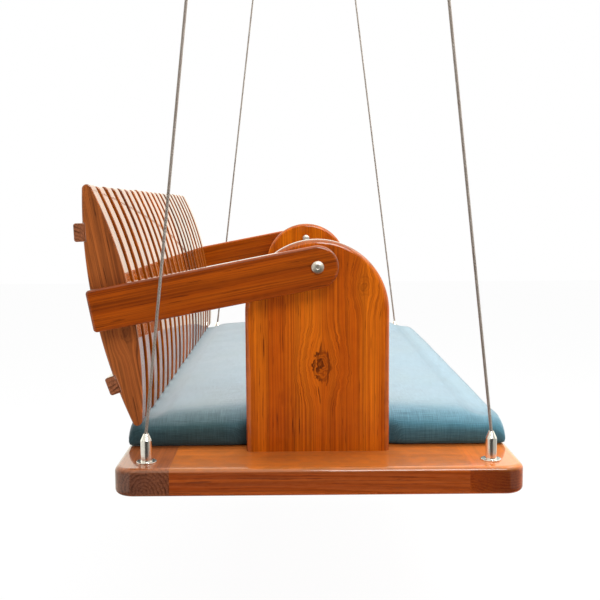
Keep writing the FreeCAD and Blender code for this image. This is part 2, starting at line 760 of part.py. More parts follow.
def build():
    long_rail("rear_long_rail", 1)
    long_rail("front_long_rail", -1)
    end_rail("left_end_rail", 1)
    end_rail("right_end_rail", -1)
    deck()
    cushion()
    sides = (("left", 1), ("right", -1))
    for name, side in sides:
        side_panel(name + "_side_panel", side)
        arm(name + "_arm", side)
    for index in range(slat_count):
        slat(index)
    back_rail("upper_back_rail", 1)
    back_rail("lower_back_rail", -1)
    group("panel_tenons", [panel_tenon(side, share) for _, side in sides
                           for share in panel_tenon_shares])
    group("arm_tenons", [arm_tenon(side) for _, side in sides])
    group("pivot_bolts", [pivot_bolt(side) for _, side in sides])
    group("pivot_nuts", [pivot_nut(side) for _, side in sides])
    group("pivot_washers", [pivot_washer(side) for _, side in sides])

    anchors = [(f"{end} * anchor_x", f"{side} * anchor_y") for end in (-1, 1) for side in (-1, 1)]
    group("rope_ferrules", [ferrule(x, y) for x, y in anchors])
    group("anchor_nuts", [anchor_nut(x, y) for x, y in anchors])

    rows = (("rear", 1, "eye_crown_gap"), ("front", -1, "front_crown_gap"))
    for row_name, row_side, gap in rows:
        for name, end in sides:
            rope(f"{row_name}_{name}_rope", end, row_side, gap)
        group(f"{row_name}_rope_eyes", [rope_eye(end, row_side, gap) for _, end in sides])
    for name, end in sides:
        ceiling_bar(name + "_ceiling_bar", end)
    doc.recompute()


def check():
    """Stop on any object that failed, and on any sub-part that is empty or not a closed solid."""
    for item in doc.Objects:
        if "Invalid" in item.State or "Error" in item.State:
            raise RuntimeError(f"{item.Name} did not build: {item.State}")
    for label, item in sub_parts.items():
        shape = item.Shape
        if shape.isNull() or not shape.isValid() or not shape.Solids:
            raise RuntimeError(f"{label} is not a valid solid")


build()
check()
os.makedirs("parts", exist_ok=True)
for label, item in sub_parts.items():
    item.Shape.exportStep(f"parts/{label}.step")
print(f"{len(sub_parts)} sub-parts written")
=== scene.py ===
import json
import math

import bmesh
import bpy
import numpy as np
from mathutils import Matrix, Vector


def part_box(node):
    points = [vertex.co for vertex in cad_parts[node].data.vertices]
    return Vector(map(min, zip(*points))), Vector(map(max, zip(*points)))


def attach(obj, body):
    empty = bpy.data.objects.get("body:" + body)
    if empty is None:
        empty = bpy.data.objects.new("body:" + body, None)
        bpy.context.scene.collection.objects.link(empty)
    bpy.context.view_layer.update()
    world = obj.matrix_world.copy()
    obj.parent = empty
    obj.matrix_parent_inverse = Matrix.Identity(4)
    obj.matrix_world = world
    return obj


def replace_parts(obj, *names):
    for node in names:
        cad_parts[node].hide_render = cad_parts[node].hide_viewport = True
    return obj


# A teak jhoola on four wire ropes, seen along its length from its right end.
# X runs along the bench, +Y is the side that the backrest stands on and Z is up.
# Lengths in the dictionaries are millimetres and colours are 0 to 255, as a picture shows them.

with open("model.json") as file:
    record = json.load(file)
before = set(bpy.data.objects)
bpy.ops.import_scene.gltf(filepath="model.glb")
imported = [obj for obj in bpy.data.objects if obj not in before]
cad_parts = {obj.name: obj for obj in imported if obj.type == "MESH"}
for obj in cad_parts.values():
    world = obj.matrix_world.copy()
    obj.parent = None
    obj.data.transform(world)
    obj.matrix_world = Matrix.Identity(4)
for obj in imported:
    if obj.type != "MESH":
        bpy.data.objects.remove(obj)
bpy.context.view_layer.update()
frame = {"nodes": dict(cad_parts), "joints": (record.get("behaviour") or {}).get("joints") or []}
mm = 0.001


def jointPlace(name):
    return np.array(next(j for j in frame["joints"] if j["name"] == name)["pos_m"])


pivot = jointPlace("back_flip")
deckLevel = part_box("rear_long_rail")[1].z
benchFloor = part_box("rear_long_rail")[0].z


def tone(red, green, blue):
    # a picture's colour made linear: ((c + 0.055) / 1.055) to the power 2.4
    linear = [((c / 255 + 0.055) / 1.055) ** 2.4 if c > 10 else c / 255 / 12.92 for c in (red, green, blue)]
    return (*linear, 1)


# ---- camera, from the photograph's own perspective
view = {"place": (-2.1879, 0.0388, -0.7306), "lens": 56.99, "yaw": -0.00702, "pitch": 0.09992, "roll": -0.00601}
lens = bpy.data.cameras.new("view")
lens.lens = view["lens"]
lens.sensor_width = 36
lens.clip_end = 60
camera = bpy.data.objects.new("view", lens)
camera.matrix_world = (Matrix.Translation(view["place"]) @ Matrix.Rotation(view["yaw"] - math.pi / 2, 4, "Z")
                       @ Matrix.Rotation(math.pi / 2 - view["pitch"], 4, "X") @ Matrix.Rotation(view["roll"], 4, "Z"))
bpy.context.scene.collection.objects.link(camera)
bpy.context.scene.camera = camera
print("camera placed")


# ---- meshes from arrays

def gridFaces(rows, cols, start=0):
    # quads between neighbouring rows, closed round the columns
    r, c = np.meshgrid(np.arange(rows - 1), np.arange(cols), indexing="ij")
    beside = (c + 1) % cols
    quads = np.stack([r * cols + c, r * cols + beside, (r + 1) * cols + beside, (r + 1) * cols + c], -1)
    return (quads.reshape(-1, 4) + start).tolist()


def shell(rows):
    # a closed skin over rows of points (rows, cols, 3): quads between rows and one face at each end
    count, cols = rows.shape[:2]
    last = (count - 1) * cols
    faces = gridFaces(count, cols)
    faces.append(list(range(cols))[::-1])
    faces.append(list(range(last, last + cols)))
    return rows.reshape(-1, 3), faces


def joinShells(shells):
    points, faces, start = [], [], 0
    for spots, quads in shells:
        points.append(spots)
        faces += [[start + i for i in face] for face in quads]
        start += len(spots)
    return np.concatenate(points), faces


def addPiece(name, points, faces, sharp=38):
    # merges doubles, turns the faces outwards and keeps edges sharper than the limit crisp
    mesh = bpy.data.meshes.new(name)
    mesh.from_pydata(points.tolist(), [], faces)
    work = bmesh.new()
    work.from_mesh(mesh)
    bmesh.ops.remove_doubles(work, verts=work.verts, dist=3e-6)
    bmesh.ops.recalc_face_normals(work, faces=work.faces)
    work.to_mesh(mesh)
    work.free()
    mesh.shade_smooth()
    mesh.set_sharp_from_angle(angle=math.radians(sharp))
    piece = bpy.data.objects.new(name, mesh)
    bpy.context.scene.collection.objects.link(piece)
    return piece


def settle(piece, body, material, nodes=()):
    # gives a finished piece its material, its body and the nodes it stands for
    piece.data.materials.clear()
    piece.data.materials.append(material)
    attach(piece, body)
    if nodes:
        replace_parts(piece, *nodes)
    return piece


def vertexArray(mesh, what="co"):
    flat = np.zeros(len(mesh.vertices) * 3)
    if what == "co":
        mesh.vertices.foreach_get("co", flat)
    else:
        mesh.vertex_normals.foreach_get("vector", flat)
    return flat.reshape(-1, 3)


def inBasis(rows, origin, axes):
    # own coordinates (a, b, c) to the frame: origin + a A + b B + c C
    return np.asarray(origin) + rows @ np.asarray(axes, float)


def carve(piece, cutters):
    # cuts plain shapes out of a piece and keeps the result as its mesh
    for cutter in cutters:
        cut = piece.modifiers.new("cut", "BOOLEAN")
        cut.object, cut.solver = cutter, "EXACT"
    bpy.context.view_layer.update()
    result = bpy.data.meshes.new_from_object(piece.evaluated_get(bpy.context.evaluated_depsgraph_get()))
    piece.modifiers.clear()
    result.name = piece.name
    piece.data = result
    result.set_sharp_from_angle(angle=math.radians(38))
    for cutter in cutters:
        bpy.data.objects.remove(cutter)


# ---- outlines in a board's own plane: points and, at each, the way inwards

def arcRun(center, radius, start, end, count):
    # centre + radius (cos, sin), with the way in towards the centre
    turn = np.linspace(start, end, count)
    out = np.stack([np.cos(turn), np.sin(turn)], 1)
    return np.asarray(center) + radius * out, -out


def roundedRectangle(low, high, radius, steps=6):
    # four quarter arcs, joined by straight sides, counterclockwise
    (a0, b0), (a1, b1) = low, high
    corners = (((a1 - radius, b0 + radius), -90), ((a1 - radius, b1 - radius), 0),
               ((a0 + radius, b1 - radius), 90), ((a0 + radius, b0 + radius), 180))
    runs = [arcRun(center, radius, math.radians(a), math.radians(a + 90), steps + 1) for center, a in corners]
    return joinRuns(runs)


def joinRuns(runs):
    return np.concatenate([run[0] for run in runs]), np.concatenate([run[1] for run in runs])


def still(*points):
    # points of a tight joint, which keep their place however far the edge is rounded
    return np.array(points, float), np.zeros((len(points), 2))


def boardRows(run, thickness, radius, steps=4, support=0.0009):
    # rows round both edges: the outline moved in by r (1 - cos t) at height h - r + r sin t, with a row close to each
    # end of the round so that the flats stay flat in a reflection
    outline, inwards = run
    turn = np.linspace(0, math.pi / 2, steps + 1)
    inset = radius * (1 - np.cos(turn))
    rise = thickness / 2 - radius + radius * np.sin(turn)
    flank = max(rise[0] - support, rise[0] * 0.4)
    insets = np.concatenate([[radius + support], inset[::-1], [0, 0], inset, [radius + support]])
    heights = np.concatenate([[-thickness / 2], -rise[::-1], [-flank, flank], rise, [thickness / 2]])
    flat = outline[None] + inwards[None] * insets[:, None, None]
    return np.concatenate([flat, np.broadcast_to(heights[:, None, None], flat.shape[:2] + (1,))], 2)


def turnedRows(profile, segments=56):
    # a profile of radius and height turned about the third axis: (r cos t, r sin t, h)
    turn = np.arange(segments) * 2 * math.pi / segments
    radius, height = np.array(profile, float).T * mm
    ring = np.stack([np.cos(turn), np.sin(turn)], 1)
    flat = radius[:, None, None] * ring[None]
    return np.concatenate([flat, np.broadcast_to(height[:, None, None], flat.shape[:2] + (1,))], 2)


def rounded(profile, size, steps=3):
    # rounds each inner corner of a profile with a short curve between points set back by size
    spots = [np.array(profile[0], float)]
    for before, here, after in zip(profile, profile[1:], profile[2:]):
        before, here, after = (np.array(p, float) for p in (before, here, after))
        back = min(size, np.linalg.norm(before - here) * 0.35, np.linalg.norm(after - here) * 0.35)
        first = here + (before - here) / np.linalg.norm(before - here) * back
        second = here + (after - here) / np.linalg.norm(after - here) * back
        spots.append(here + (first - here) * 1.35)
        for t in np.linspace(0, 1, steps + 1):
            spots.append((1 - t) ** 2 * first + 2 * t * (1 - t) * here + t ** 2 * second)
        spots.append(here + (second - here) * 1.35)
    spots.append(np.array(profile[-1], float))
    return spots


# ---- shader wiring

def addNode(tree, kind, inputs=None, **settings):
    node = tree.nodes.new(kind)
    for name, setting in settings.items():
        setattr(node, name, setting)
    for key, source in (inputs or {}).items():
        if isinstance(source, bpy.types.NodeSocket):
            tree.links.new(source, node.inputs[key])
        else:
            node.inputs[key].default_value = source
    return node


def sums(tree, operation, *terms, clamp=False):
    return addNode(tree, "ShaderNodeMath", dict(enumerate(terms)), operation=operation, use_clamp=clamp).outputs[0]


def vectors(tree, operation, *terms):
    node = addNode(tree, "ShaderNodeVectorMath", dict(enumerate(terms)), operation=operation)
    return node.outputs["Value" if operation in ("LENGTH", "DISTANCE", "DOT_PRODUCT") else "Vector"]


def noise(tree, vector, scale=1.0, detail=2.0, roughness=0.5, distortion=0.0):
    return addNode(tree, "ShaderNodeTexNoise", {"Vector": vector, "Scale": scale, "Detail": detail,
                                                "Roughness": roughness, "Distortion": distortion}).outputs["Fac"]


def mixed(tree, share, one, other, blend="MIX"):
    node = addNode(tree, "ShaderNodeMix", {0: share, 6: one, 7: other}, data_type="RGBA", blend_type=blend)
    return node.outputs[2]


def spread(tree, source, low, high, out=(0.0, 1.0)):
    node = addNode(tree, "ShaderNodeMapRange", {0: source, 1: low, 2: high, 3: out[0], 4: out[1]},
                   interpolation_type="SMOOTHSTEP")
    return node.outputs[0]


def newGroup(name, inputs, outputs):
    tree = bpy.data.node_groups.new(name, "ShaderNodeTree")
    for label, kind, start in inputs:
        socket = tree.interface.new_socket(label, in_out="INPUT", socket_type=kind)
        if start is not None:
            socket.default_value = start
    for label, kind in outputs:
        tree.interface.new_socket(label, in_out="OUTPUT", socket_type=kind)
    return tree, tree.nodes.new("NodeGroupInput").outputs, tree.nodes.new("NodeGroupOutput")


numberSocket, colorSocket, vectorSocket = "NodeSocketFloat", "NodeSocketColor", "NodeSocketVector"


def buildTeakGroup():
    # teak in grain coordinates, x along the fibres: rings round a pith, glued staves, streaks, short checks, pores,
    # knots that the fibres run round, dark end grain and rubbed edges
    tree, given, out = newGroup("teakGrain", [
        ("Grain", vectorSocket, None), ("End", numberSocket, 0.0), ("Wear", numberSocket, 0.0), ("Board", numberSocket, 0.0),
        ("Pith", vectorSocket, (0, 0, -0.1)), ("Ring", numberSocket, 0.005), ("Stave", numberSocket, 10.0),
        ("Stave Start", numberSocket, 5.0), ("Figure", numberSocket, 1.0),
        ("Knot", vectorSocket, (9, 9, 9)), ("Second Knot", vectorSocket, (9, 9, 9)),
        ("Light", colorSocket, tone(205, 120, 50)), ("Middle", colorSocket, tone(180, 90, 30)),
        ("Dark", colorSocket, tone(95, 38, 12)), ("End Tone", colorSocket, tone(95, 50, 30)),
        ("PaleAndTopHighlight", colorSocket, tone(205, 120, 50))],
        [("Color", colorSocket), ("Height", numberSocket), ("Roughness", numberSocket)])
    split = addNode(tree, "ShaderNodeSeparateXYZ", {0: given["Grain"]}).outputs
    stave = sums(tree, "FLOOR", sums(tree, "DIVIDE", sums(tree, "ADD", split[1], given["Stave Start"]), given["Stave"]))
    shift = addNode(tree, "ShaderNodeCombineXYZ", {0: sums(tree, "MULTIPLY", stave, 0.731),
                                                   1: sums(tree, "MULTIPLY", stave, 0.0187),
                                                   2: sums(tree, "MULTIPLY", stave, 0.0613)}).outputs[0]
    spot = vectors(tree, "ADD", given["Grain"], shift)

    # a knot pushes the fibres aside, and is ringed, crusted and dark inside
    push, core, crust = 0.0, 0.0, 0.0
    for label, size, depth in (("Knot", 0.0165, 1.0), ("Second Knot", 0.012, 0.35)):
        away = vectors(tree, "MULTIPLY", vectors(tree, "SUBTRACT", given["Grain"], given[label]), (0.62, 1.0, 0.0))
        wobble = sums(tree, "MULTIPLY", noise(tree, vectors(tree, "MULTIPLY", given["Grain"], (80, 80, 80)), 1, 3), size)
        distance = sums(tree, "ADD", vectors(tree, "LENGTH", away), sums(tree, "SUBTRACT", wobble, size * 0.5))
        close = spread(tree, distance, size * 3.2, size * 0.4)
        sideways = addNode(tree, "ShaderNodeSeparateXYZ", {0: away}).outputs[1]
        push = sums(tree, "ADD", push, sums(tree, "MULTIPLY", sums(tree, "MULTIPLY", sideways, close), 0.8))
        inside = spread(tree, distance, size * 1.0, size * 0.75)
        rings = sums(tree, "SINE", sums(tree, "MULTIPLY", distance, 1500.0))
        ringed = spread(tree, rings, -1.0, 1.0, (0.12 * depth, 0.6 * depth))
        core = sums(tree, "MAXIMUM", core, sums(tree, "MULTIPLY", inside, ringed))
        middle = vectors(tree, "LENGTH", vectors(tree, "SUBTRACT", away, (0.0, size * 0.3, 0.0)))
        middle = sums(tree, "ADD", middle, sums(tree, "SUBTRACT", wobble, size * 0.5))
        heart = sums(tree, "MULTIPLY", spread(tree, middle, size * 0.4, size * 0.3, (0.0, depth)),
                     spread(tree, middle, size * 0.06, size * 0.24, (0.45, 1.0)))
        patchy = spread(tree, noise(tree, vectors(tree, "MULTIPLY", given["Grain"], (70, 170, 60)), 1, 3, 0.7), 0.44, 0.55,
                        (0.0, depth))
        rim = sums(tree, "MULTIPLY", spread(tree, distance, size * 0.7, size * 0.84),
                   spread(tree, distance, size * 1.08, size * 0.94))
        rim = sums(tree, "MULTIPLY", rim, spread(tree, sideways, size * -0.35, size * 0.6, (0.12, 1.0)))
        crust = sums(tree, "MAXIMUM", crust, sums(tree, "MAXIMUM", sums(tree, "MULTIPLY", heart, 0.9),
                                                  sums(tree, "MULTIPLY", rim, patchy)))
    spot = vectors(tree, "SUBTRACT", spot, addNode(tree, "ShaderNodeCombineXYZ", {1: push}).outputs[0])

    def stretched(along, across):
        return vectors(tree, "MULTIPLY", spot, (along, across, across))

    wander = addNode(tree, "ShaderNodeTexNoise", {"Vector": stretched(1.3, 6), "Scale": 1.0, "Detail": 2.0,
                                                  "Roughness": 0.45}).outputs["Color"]
    wander = vectors(tree, "MULTIPLY", vectors(tree, "SUBTRACT", wander, (0.5, 0.5, 0.5)), (0.0, 0.03, 0.03))
    around = vectors(tree, "MULTIPLY", vectors(tree, "ADD", vectors(tree, "SUBTRACT", spot, given["Pith"]), wander),
                     (0.0, 1.0, 1.0))
    loose = sums(tree, "ADD", sums(tree, "MULTIPLY", noise(tree, stretched(0.8, 34), 1, 2), 1.9),
                 sums(tree, "MULTIPLY", noise(tree, stretched(3, 190), 1, 2), 0.5))
    turn = sums(tree, "FRACT", sums(tree, "ADD", sums(tree, "DIVIDE", vectors(tree, "LENGTH", around), given["Ring"]), loose))
    late = sums(tree, "MULTIPLY", spread(tree, turn, 0.3, 0.88), spread(tree, turn, 1.0, 0.94))
    late = sums(tree, "MULTIPLY", late, spread(tree, noise(tree, stretched(0.9, 42), 1, 2), 0.36, 0.62, (0.25, 1.0)))

    broad = noise(tree, stretched(0.7, 16), 1, 3, 0.55)
    band = noise(tree, stretched(1.0, 80), 1, 3, 0.6)
    streak = noise(tree, stretched(2.0, 290), 1, 3, 0.65)
    fibre = noise(tree, stretched(7, 1100), 1, 2, 0.6)
    mineral = spread(tree, noise(tree, stretched(1.6, 120), 1, 3, 0.6, 0.3), 0.6, 0.74)
    checks = spread(tree, noise(tree, stretched(15, 430), 1, 2, 0.5), 0.645, 0.69)
    pores = spread(tree, noise(tree, stretched(40, 1500), 1, 1), 0.62, 0.74)
    figure = given["Figure"]

    color = mixed(tree, spread(tree, broad, 0.36, 0.64), given["Light"], given["Middle"])
    color = mixed(tree, sums(tree, "MULTIPLY", spread(tree, band, 0.4, 0.68), 0.55), color, given["Middle"])
    color = mixed(tree, sums(tree, "MULTIPLY", late, sums(tree, "MULTIPLY", figure, 0.26)), color, given["Dark"])
    color = mixed(tree, sums(tree, "MULTIPLY", spread(tree, streak, 0.45, 0.62), 0.42), color, given["Dark"])
    color = mixed(tree, sums(tree, "MULTIPLY", mineral, sums(tree, "MULTIPLY", figure, 0.36)), color, given["Dark"])
    color = mixed(tree, sums(tree, "MULTIPLY", spread(tree, fibre, 0.35, 0.65), 0.3), color, given["Dark"])
    color = mixed(tree, sums(tree, "MULTIPLY", checks, 0.7), color, mixed(tree, 0.5, given["Dark"], (0, 0, 0, 1)))
    color = mixed(tree, sums(tree, "MULTIPLY", pores, 0.25), color, given["Dark"])
    color = mixed(tree, core, color, given["Dark"])
    color = mixed(tree, sums(tree, "MULTIPLY", crust, 0.85), color, mixed(tree, 0.6, given["Dark"], (0, 0, 0, 1)))
    speck = noise(tree, vectors(tree, "MULTIPLY", spot, (60, 420, 420)), 1, 2)
    endColor = mixed(tree, sums(tree, "MULTIPLY", late, 0.85), given["End Tone"], given["Dark"])
    endColor = mixed(tree, spread(tree, speck, 0.4, 0.75, (0.0, 0.5)), endColor, given["Dark"])
    color = mixed(tree, sums(tree, "MULTIPLY", given["End"], 0.9), color, endColor)
    rubbed = sums(tree, "MULTIPLY", given["Wear"], spread(tree, noise(tree, given["Grain"], 45, 3), 0.4, 0.65, (0.05, 0.3)))
    color = mixed(tree, rubbed, color, given["Light"])
    # a board's own tone, darker or paler; the paler colour on the bench's upward faces is a painted highlight
    color = mixed(tree, spread(tree, given["Board"], 0.0, 1.0, (0.0, 0.4)), color, given["Dark"])
    color = mixed(tree, spread(tree, given["Board"], 0.0, -1.0, (0.0, 0.35)), color, given["PaleAndTopHighlight"])
    tree.links.new(color, out.inputs["Color"])
    height = sums(tree, "SUBTRACT", sums(tree, "MULTIPLY", streak, 0.35), sums(tree, "MULTIPLY", pores, 0.5))
    tree.links.new(sums(tree, "SUBTRACT", height, sums(tree, "MULTIPLY", checks, 0.6)), out.inputs["Height"])
    rough = sums(tree, "ADD", sums(tree, "MULTIPLY", broad, 0.12), sums(tree, "MULTIPLY", rubbed, 0.3))
    tree.links.new(sums(tree, "ADD", rough, 0.3), out.inputs["Roughness"])
    return tree


def newMaterial(name):
    material = bpy.data.materials.new(name)
    material.use_nodes = True
    tree = material.node_tree
    return material, tree, tree.nodes["Principled BSDF"]


def bumped(tree, shader, height, strength, distance):
    bump = addNode(tree, "ShaderNodeBump", {"Height": height, "Strength": strength, "Distance": distance})
    tree.links.new(bump.outputs[0], shader.inputs["Normal"])


teakGroup = buildTeakGroup()


def teakMaterial(name, look, coat=0.06, bend=1.5):
    # lacquered teak on a piece's own grain attribute; the coat's roughness and how strongly it bends light
    material, tree, shader = newMaterial(name)
    grain = addNode(tree, "ShaderNodeAttribute", attribute_name="grain").outputs["Vector"]
    end = addNode(tree, "ShaderNodeAttribute", attribute_name="endGrain").outputs["Fac"]
    wear = addNode(tree, "ShaderNodeAttribute", attribute_name="edgeWear").outputs["Fac"]
    teak = addNode(tree, "ShaderNodeGroup", node_tree=teakGroup)
    tree.links.new(grain, teak.inputs["Grain"])
    tree.links.new(end, teak.inputs["End"])
    tree.links.new(wear, teak.inputs["Wear"])
    tree.links.new(addNode(tree, "ShaderNodeAttribute", attribute_name="toneAndTopHighlight").outputs["Fac"], teak.inputs["Board"])
    for key, setting in dict(look, PaleAndTopHighlight=look.get("PaleAndTopHighlight", look["Light"])).items():
        isTone = key in ("Light", "Middle", "Dark", "End Tone", "PaleAndTopHighlight")
        teak.inputs[key].default_value = tone(*setting) if isTone else setting
    tree.links.new(teak.outputs["Color"], shader.inputs["Base Color"])
    tree.links.new(teak.outputs["Roughness"], shader.inputs["Roughness"])
    bumped(tree, shader, teak.outputs["Height"], 0.25, 0.0006)
    shader.inputs["Specular IOR Level"].default_value = 0.02
    shader.inputs["Coat Weight"].default_value = 1.0
    shader.inputs["Coat Roughness"].default_value = coat
    shader.inputs["Coat IOR"].default_value = bend
    return material


# every timber has its own place in the log, so that no two look alike
logPlaces = np.random.default_rng(7)


def setGrain(piece, origin, axes, shift=None, board=0.0):
    # grain = (along the fibres, across, through) from a point of the timber, moved to its place in the log,
    # endGrain = how squarely a surface cuts the fibres and edgeWear = how far it leans between face and rim
    if shift is None:
        shift = logPlaces.uniform((-4, -0.02, -0.02), (4, 0.02, 0.02))
    mesh = piece.data
    axes = np.asarray(axes, float)
    local = (vertexArray(mesh) - np.asarray(origin)) @ axes.T + shift
    mesh.attributes.new("grain", "FLOAT_VECTOR", "POINT").data.foreach_set("vector", local.astype(np.float32).ravel())
    # a tone per board, random on the slats; on the bench's rails it follows the upward faces as a painted highlight
    tones = np.broadcast_to(board, len(mesh.vertices)).astype(np.float32)
    mesh.attributes.new("toneAndTopHighlight", "FLOAT", "POINT").data.foreach_set("value", tones)
    lean = np.abs(vertexArray(mesh, "normal") @ axes.T)
    for name, share in (("endGrain", (lean[:, 0] - 0.35) / 0.5), ("edgeWear", 1 - np.abs(lean[:, 2] - 0.7) / 0.4)):
        share = np.clip(share, 0, 1).astype(np.float32)
        mesh.attributes.new(name, "FLOAT", "POINT").data.foreach_set("value", share)


alongX, alongY, alongZ = (1, 0, 0), (0, 1, 0), (0, 0, 1)

# ---- bench
bench = {"length": 1524, "width": 640, "thickness": 44, "corner": 32, "edge": 8.5, "rail": 88, "end rail": 150,
         "deck": 18, "ledge": 20, "plank edge": 1.5, "bearer": 60, "bearer height": 22}
# the paler colour is a painted highlight for the bench's upward faces
benchTeak = {"Light": (228, 104, 5), "Middle": (182, 69, 3), "Dark": (80, 24, 3), "End Tone": (116, 58, 30),
             "PaleAndTopHighlight": (240, 160, 78)}


def paintedTopHighlight(piece):
    # painted highlight: how far a surface faces up, as a paler colour on its top
    return -np.clip(vertexArray(piece.data, "normal")[:, 2], 0, 1)


def longRail(name, side, look, shift):
    # a plan outline with two round outer corners, its edge rounded all along but not at the joint
    end, outer = bench["length"] / 2 * mm, bench["width"] / 2 * mm
    inner, corner, edge = outer - bench["rail"] * mm, bench["corner"] * mm, bench["edge"] * mm
    near = edge + 0.002
    quarter = math.pi / 2
    run = joinRuns([
        (np.array([(end, inner)]), np.array([(-1.0, 0.0)])),
        arcRun((end - corner, outer - corner), corner, 0, quarter, 13),
        arcRun((corner - end, outer - corner), corner, quarter, 2 * quarter, 13),
        (np.array([(-end, inner)]), np.array([(1.0, 0.0)])),
        still((-end + near, inner), (end - near, inner))])
    rows = boardRows(run, bench["thickness"] * mm, edge, steps=6, support=0.0012)
    points, faces = shell(inBasis(rows, (0, 0, (deckLevel + benchFloor) / 2), (alongX, (0, side, 0), alongZ)))
    piece = addPiece(name, points, faces)
    cutters = [sinkCutter(x, side * abs(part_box("rope_ferrules")[0].y + 0.016)) for x in anchorPlaces]
    carve(piece, cutters)
    setGrain(piece, (0, side * outer, benchFloor), (alongX, (0, side, 0), alongZ), shift, paintedTopHighlight(piece))
    return settle(piece, "seat", look)


def sinkCutter(x, y):
    half, depth = 0.014, 0.012
    spots = inBasis(boardRows(roundedRectangle((-half, -half), (half, half), 0.003, 3), 2 * depth, 0.0002, 1),
                    (x, y, benchFloor), (alongX, alongY, alongZ))
    return addPiece("sink", *shell(spots))


anchorPlaces = (-0.717, 0.717)
rearRailTeak = dict(benchTeak, Pith=(0, -0.05, 0.006), Ring=0.0056, Light=(168, 92, 46), Middle=(132, 66, 30), Dark=(34, 13, 7))
frontRailTeak = dict(benchTeak, Pith=(0, -0.03, 0.16), Ring=0.0046)
rearRailTeak["End Tone"] = (102, 62, 46)
# a painted highlight colour for the rear rail's top
rearRailTeak["PaleAndTopHighlight"] = (184, 106, 58)
frontRailTeak["End Tone"] = (98, 44, 14)
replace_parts(longRail("rear_rail_board", 1, teakMaterial("teakRearRail", rearRailTeak), (0.4, 0.0, 0.0)), "rear_long_rail")
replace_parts(longRail("front_rail_board", -1, teakMaterial("teakFrontRail", frontRailTeak), (2.1, 0.0, 0.0)), "front_long_rail")


def endRail(name, side, look):
    # a rebated section with a rounded outer edge, carried across between the long rails
    face, depth = bench["length"] / 2 * mm, bench["thickness"] * mm
    width, edge = bench["end rail"] * mm, bench["edge"] * mm
    deck, ledge, across = bench["deck"] * mm, bench["ledge"] * mm, (bench["width"] / 2 - bench["rail"]) * mm
    upper, _ = arcRun((face - edge, -edge), edge, 0, math.pi / 2, 9)
    lower, _ = arcRun((face - edge, edge - depth), edge, -math.pi / 2, 0, 9)
    near = edge + 0.001
    section = np.concatenate([[(face - near, -depth)], lower, [(face, near - depth), (face, -near)], upper,
                              [(face - near, 0), (face - width, 0), (face - width, -deck),
                               (face - width - ledge, -deck), (face - width - ledge, -depth)]])
    ends = np.array([-across, across])
    rows = np.stack([np.column_stack([section[:, 0] * side, np.full(len(section), y), section[:, 1] + deckLevel])
                     for y in ends])
    piece = addPiece(name, *shell(rows))
    setGrain(piece, (side * face, 0, deckLevel), (alongY, (-side, 0, 0), alongZ), None, paintedTopHighlight(piece))
    settle(piece, "seat", look)


endRailLook = dict(benchTeak, Pith=(0, 0.07, -0.09), Ring=0.0075, Figure=0.8)
for name, side in (("left", 1), ("right", -1)):
    endRail(name + "_end_rail_board", side, teakMaterial("teakEndRail" + str(side + 1), endRailLook))
    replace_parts(bpy.data.objects[name + "_end_rail_board"], name + "_end_rail")


def squaredBoard(node, edge, grainAlong, look):
    # a timber with softened corners in a node's own box
    low, high = (np.array(corner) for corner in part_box(node))
    middle, half = (low + high) / 2, (high - low) / 2
    run = roundedRectangle(-half[:2], half[:2], edge * 1.6, 3)
    rows = boardRows(run, 2 * half[2], edge, 3)
    piece = addPiece(node + "_board", *shell(inBasis(rows, middle, (alongX, alongY, alongZ))))
    axes = (alongX, alongY, alongZ) if grainAlong == "x" else (alongY, alongX, alongZ)
    setGrain(piece, middle, axes)
    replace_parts(settle(piece, "seat", look), node)


plankLook = teakMaterial("teakPlank", dict(benchTeak, Pith=(0, 0.01, -0.06), Ring=0.006))
for index in range(1, 5):
    squaredBoard(f"deck_plank_{index}", bench["plank edge"] * mm, "x", plankLook)
for index in range(1, 3):
    squaredBoard(f"cross_bearer_{index}", bench["plank edge"] * mm, "y", plankLook)
print("bench built")

# ---- side panels
panel = {"width": 235, "edge": 8.5, "thickness": 37, "inner": 622}
panelTeak = {"Light": (228, 118, 16), "Middle": (188, 82, 5), "Dark": (90, 29, 3), "End Tone": (124, 60, 26)}


def sidePanel(name, side, look, shift):
    # straight sides up to a half round top, rounded round both faces; the foot stands square
    half, edge = panel["width"] / 2 * mm, panel["edge"] * mm
    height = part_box(name)[1].z - deckLevel
    spring = height - half
    run = joinRuns([
        (np.array([(half, 0.0)]), np.array([(-1.0, 0.0)])),
        (np.array([(half, spring * 0.5)]), np.array([(-1.0, 0.0)])),
        arcRun((0, spring), half, 0, math.pi, 65),
        (np.array([(-half, spring * 0.5)]), np.array([(1.0, 0.0)])),
        (np.array([(-half, 0.0)]), np.array([(1.0, 0.0)])),
        still((-half + 0.006, 0), (half - 0.006, 0))])
    thickness = panel["thickness"] * mm
    center = side * (panel["inner"] * mm + thickness / 2)
    rows = boardRows(run, thickness, edge, steps=4)
    piece = addPiece(name + "_board", *shell(inBasis(rows, (center, 0, deckLevel), (alongY, alongZ, alongX))))
    setGrain(piece, (center - 0.5 * thickness, 0, deckLevel), (alongZ, alongY, alongX), shift)
    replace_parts(settle(piece, "seat", look), name)


panelLook = dict(panelTeak, Pith=(0, 0.03, -0.14), Ring=0.0052, Figure=0.8)
panelLook["Stave"], panelLook["Stave Start"] = 0.117, 0.154
knots = {"Knot": (0.143, -0.008, 0.0), "Second Knot": (0.272, -0.078, 0.0)}
sidePanel("right_side_panel", -1, teakMaterial("teakRightPanel", dict(panelLook, **knots)), (0, 0.0, 0))
sidePanel("left_side_panel", 1, teakMaterial("teakLeftPanel", panelLook), (1.7, 0.01, 0))
print("side panels built")

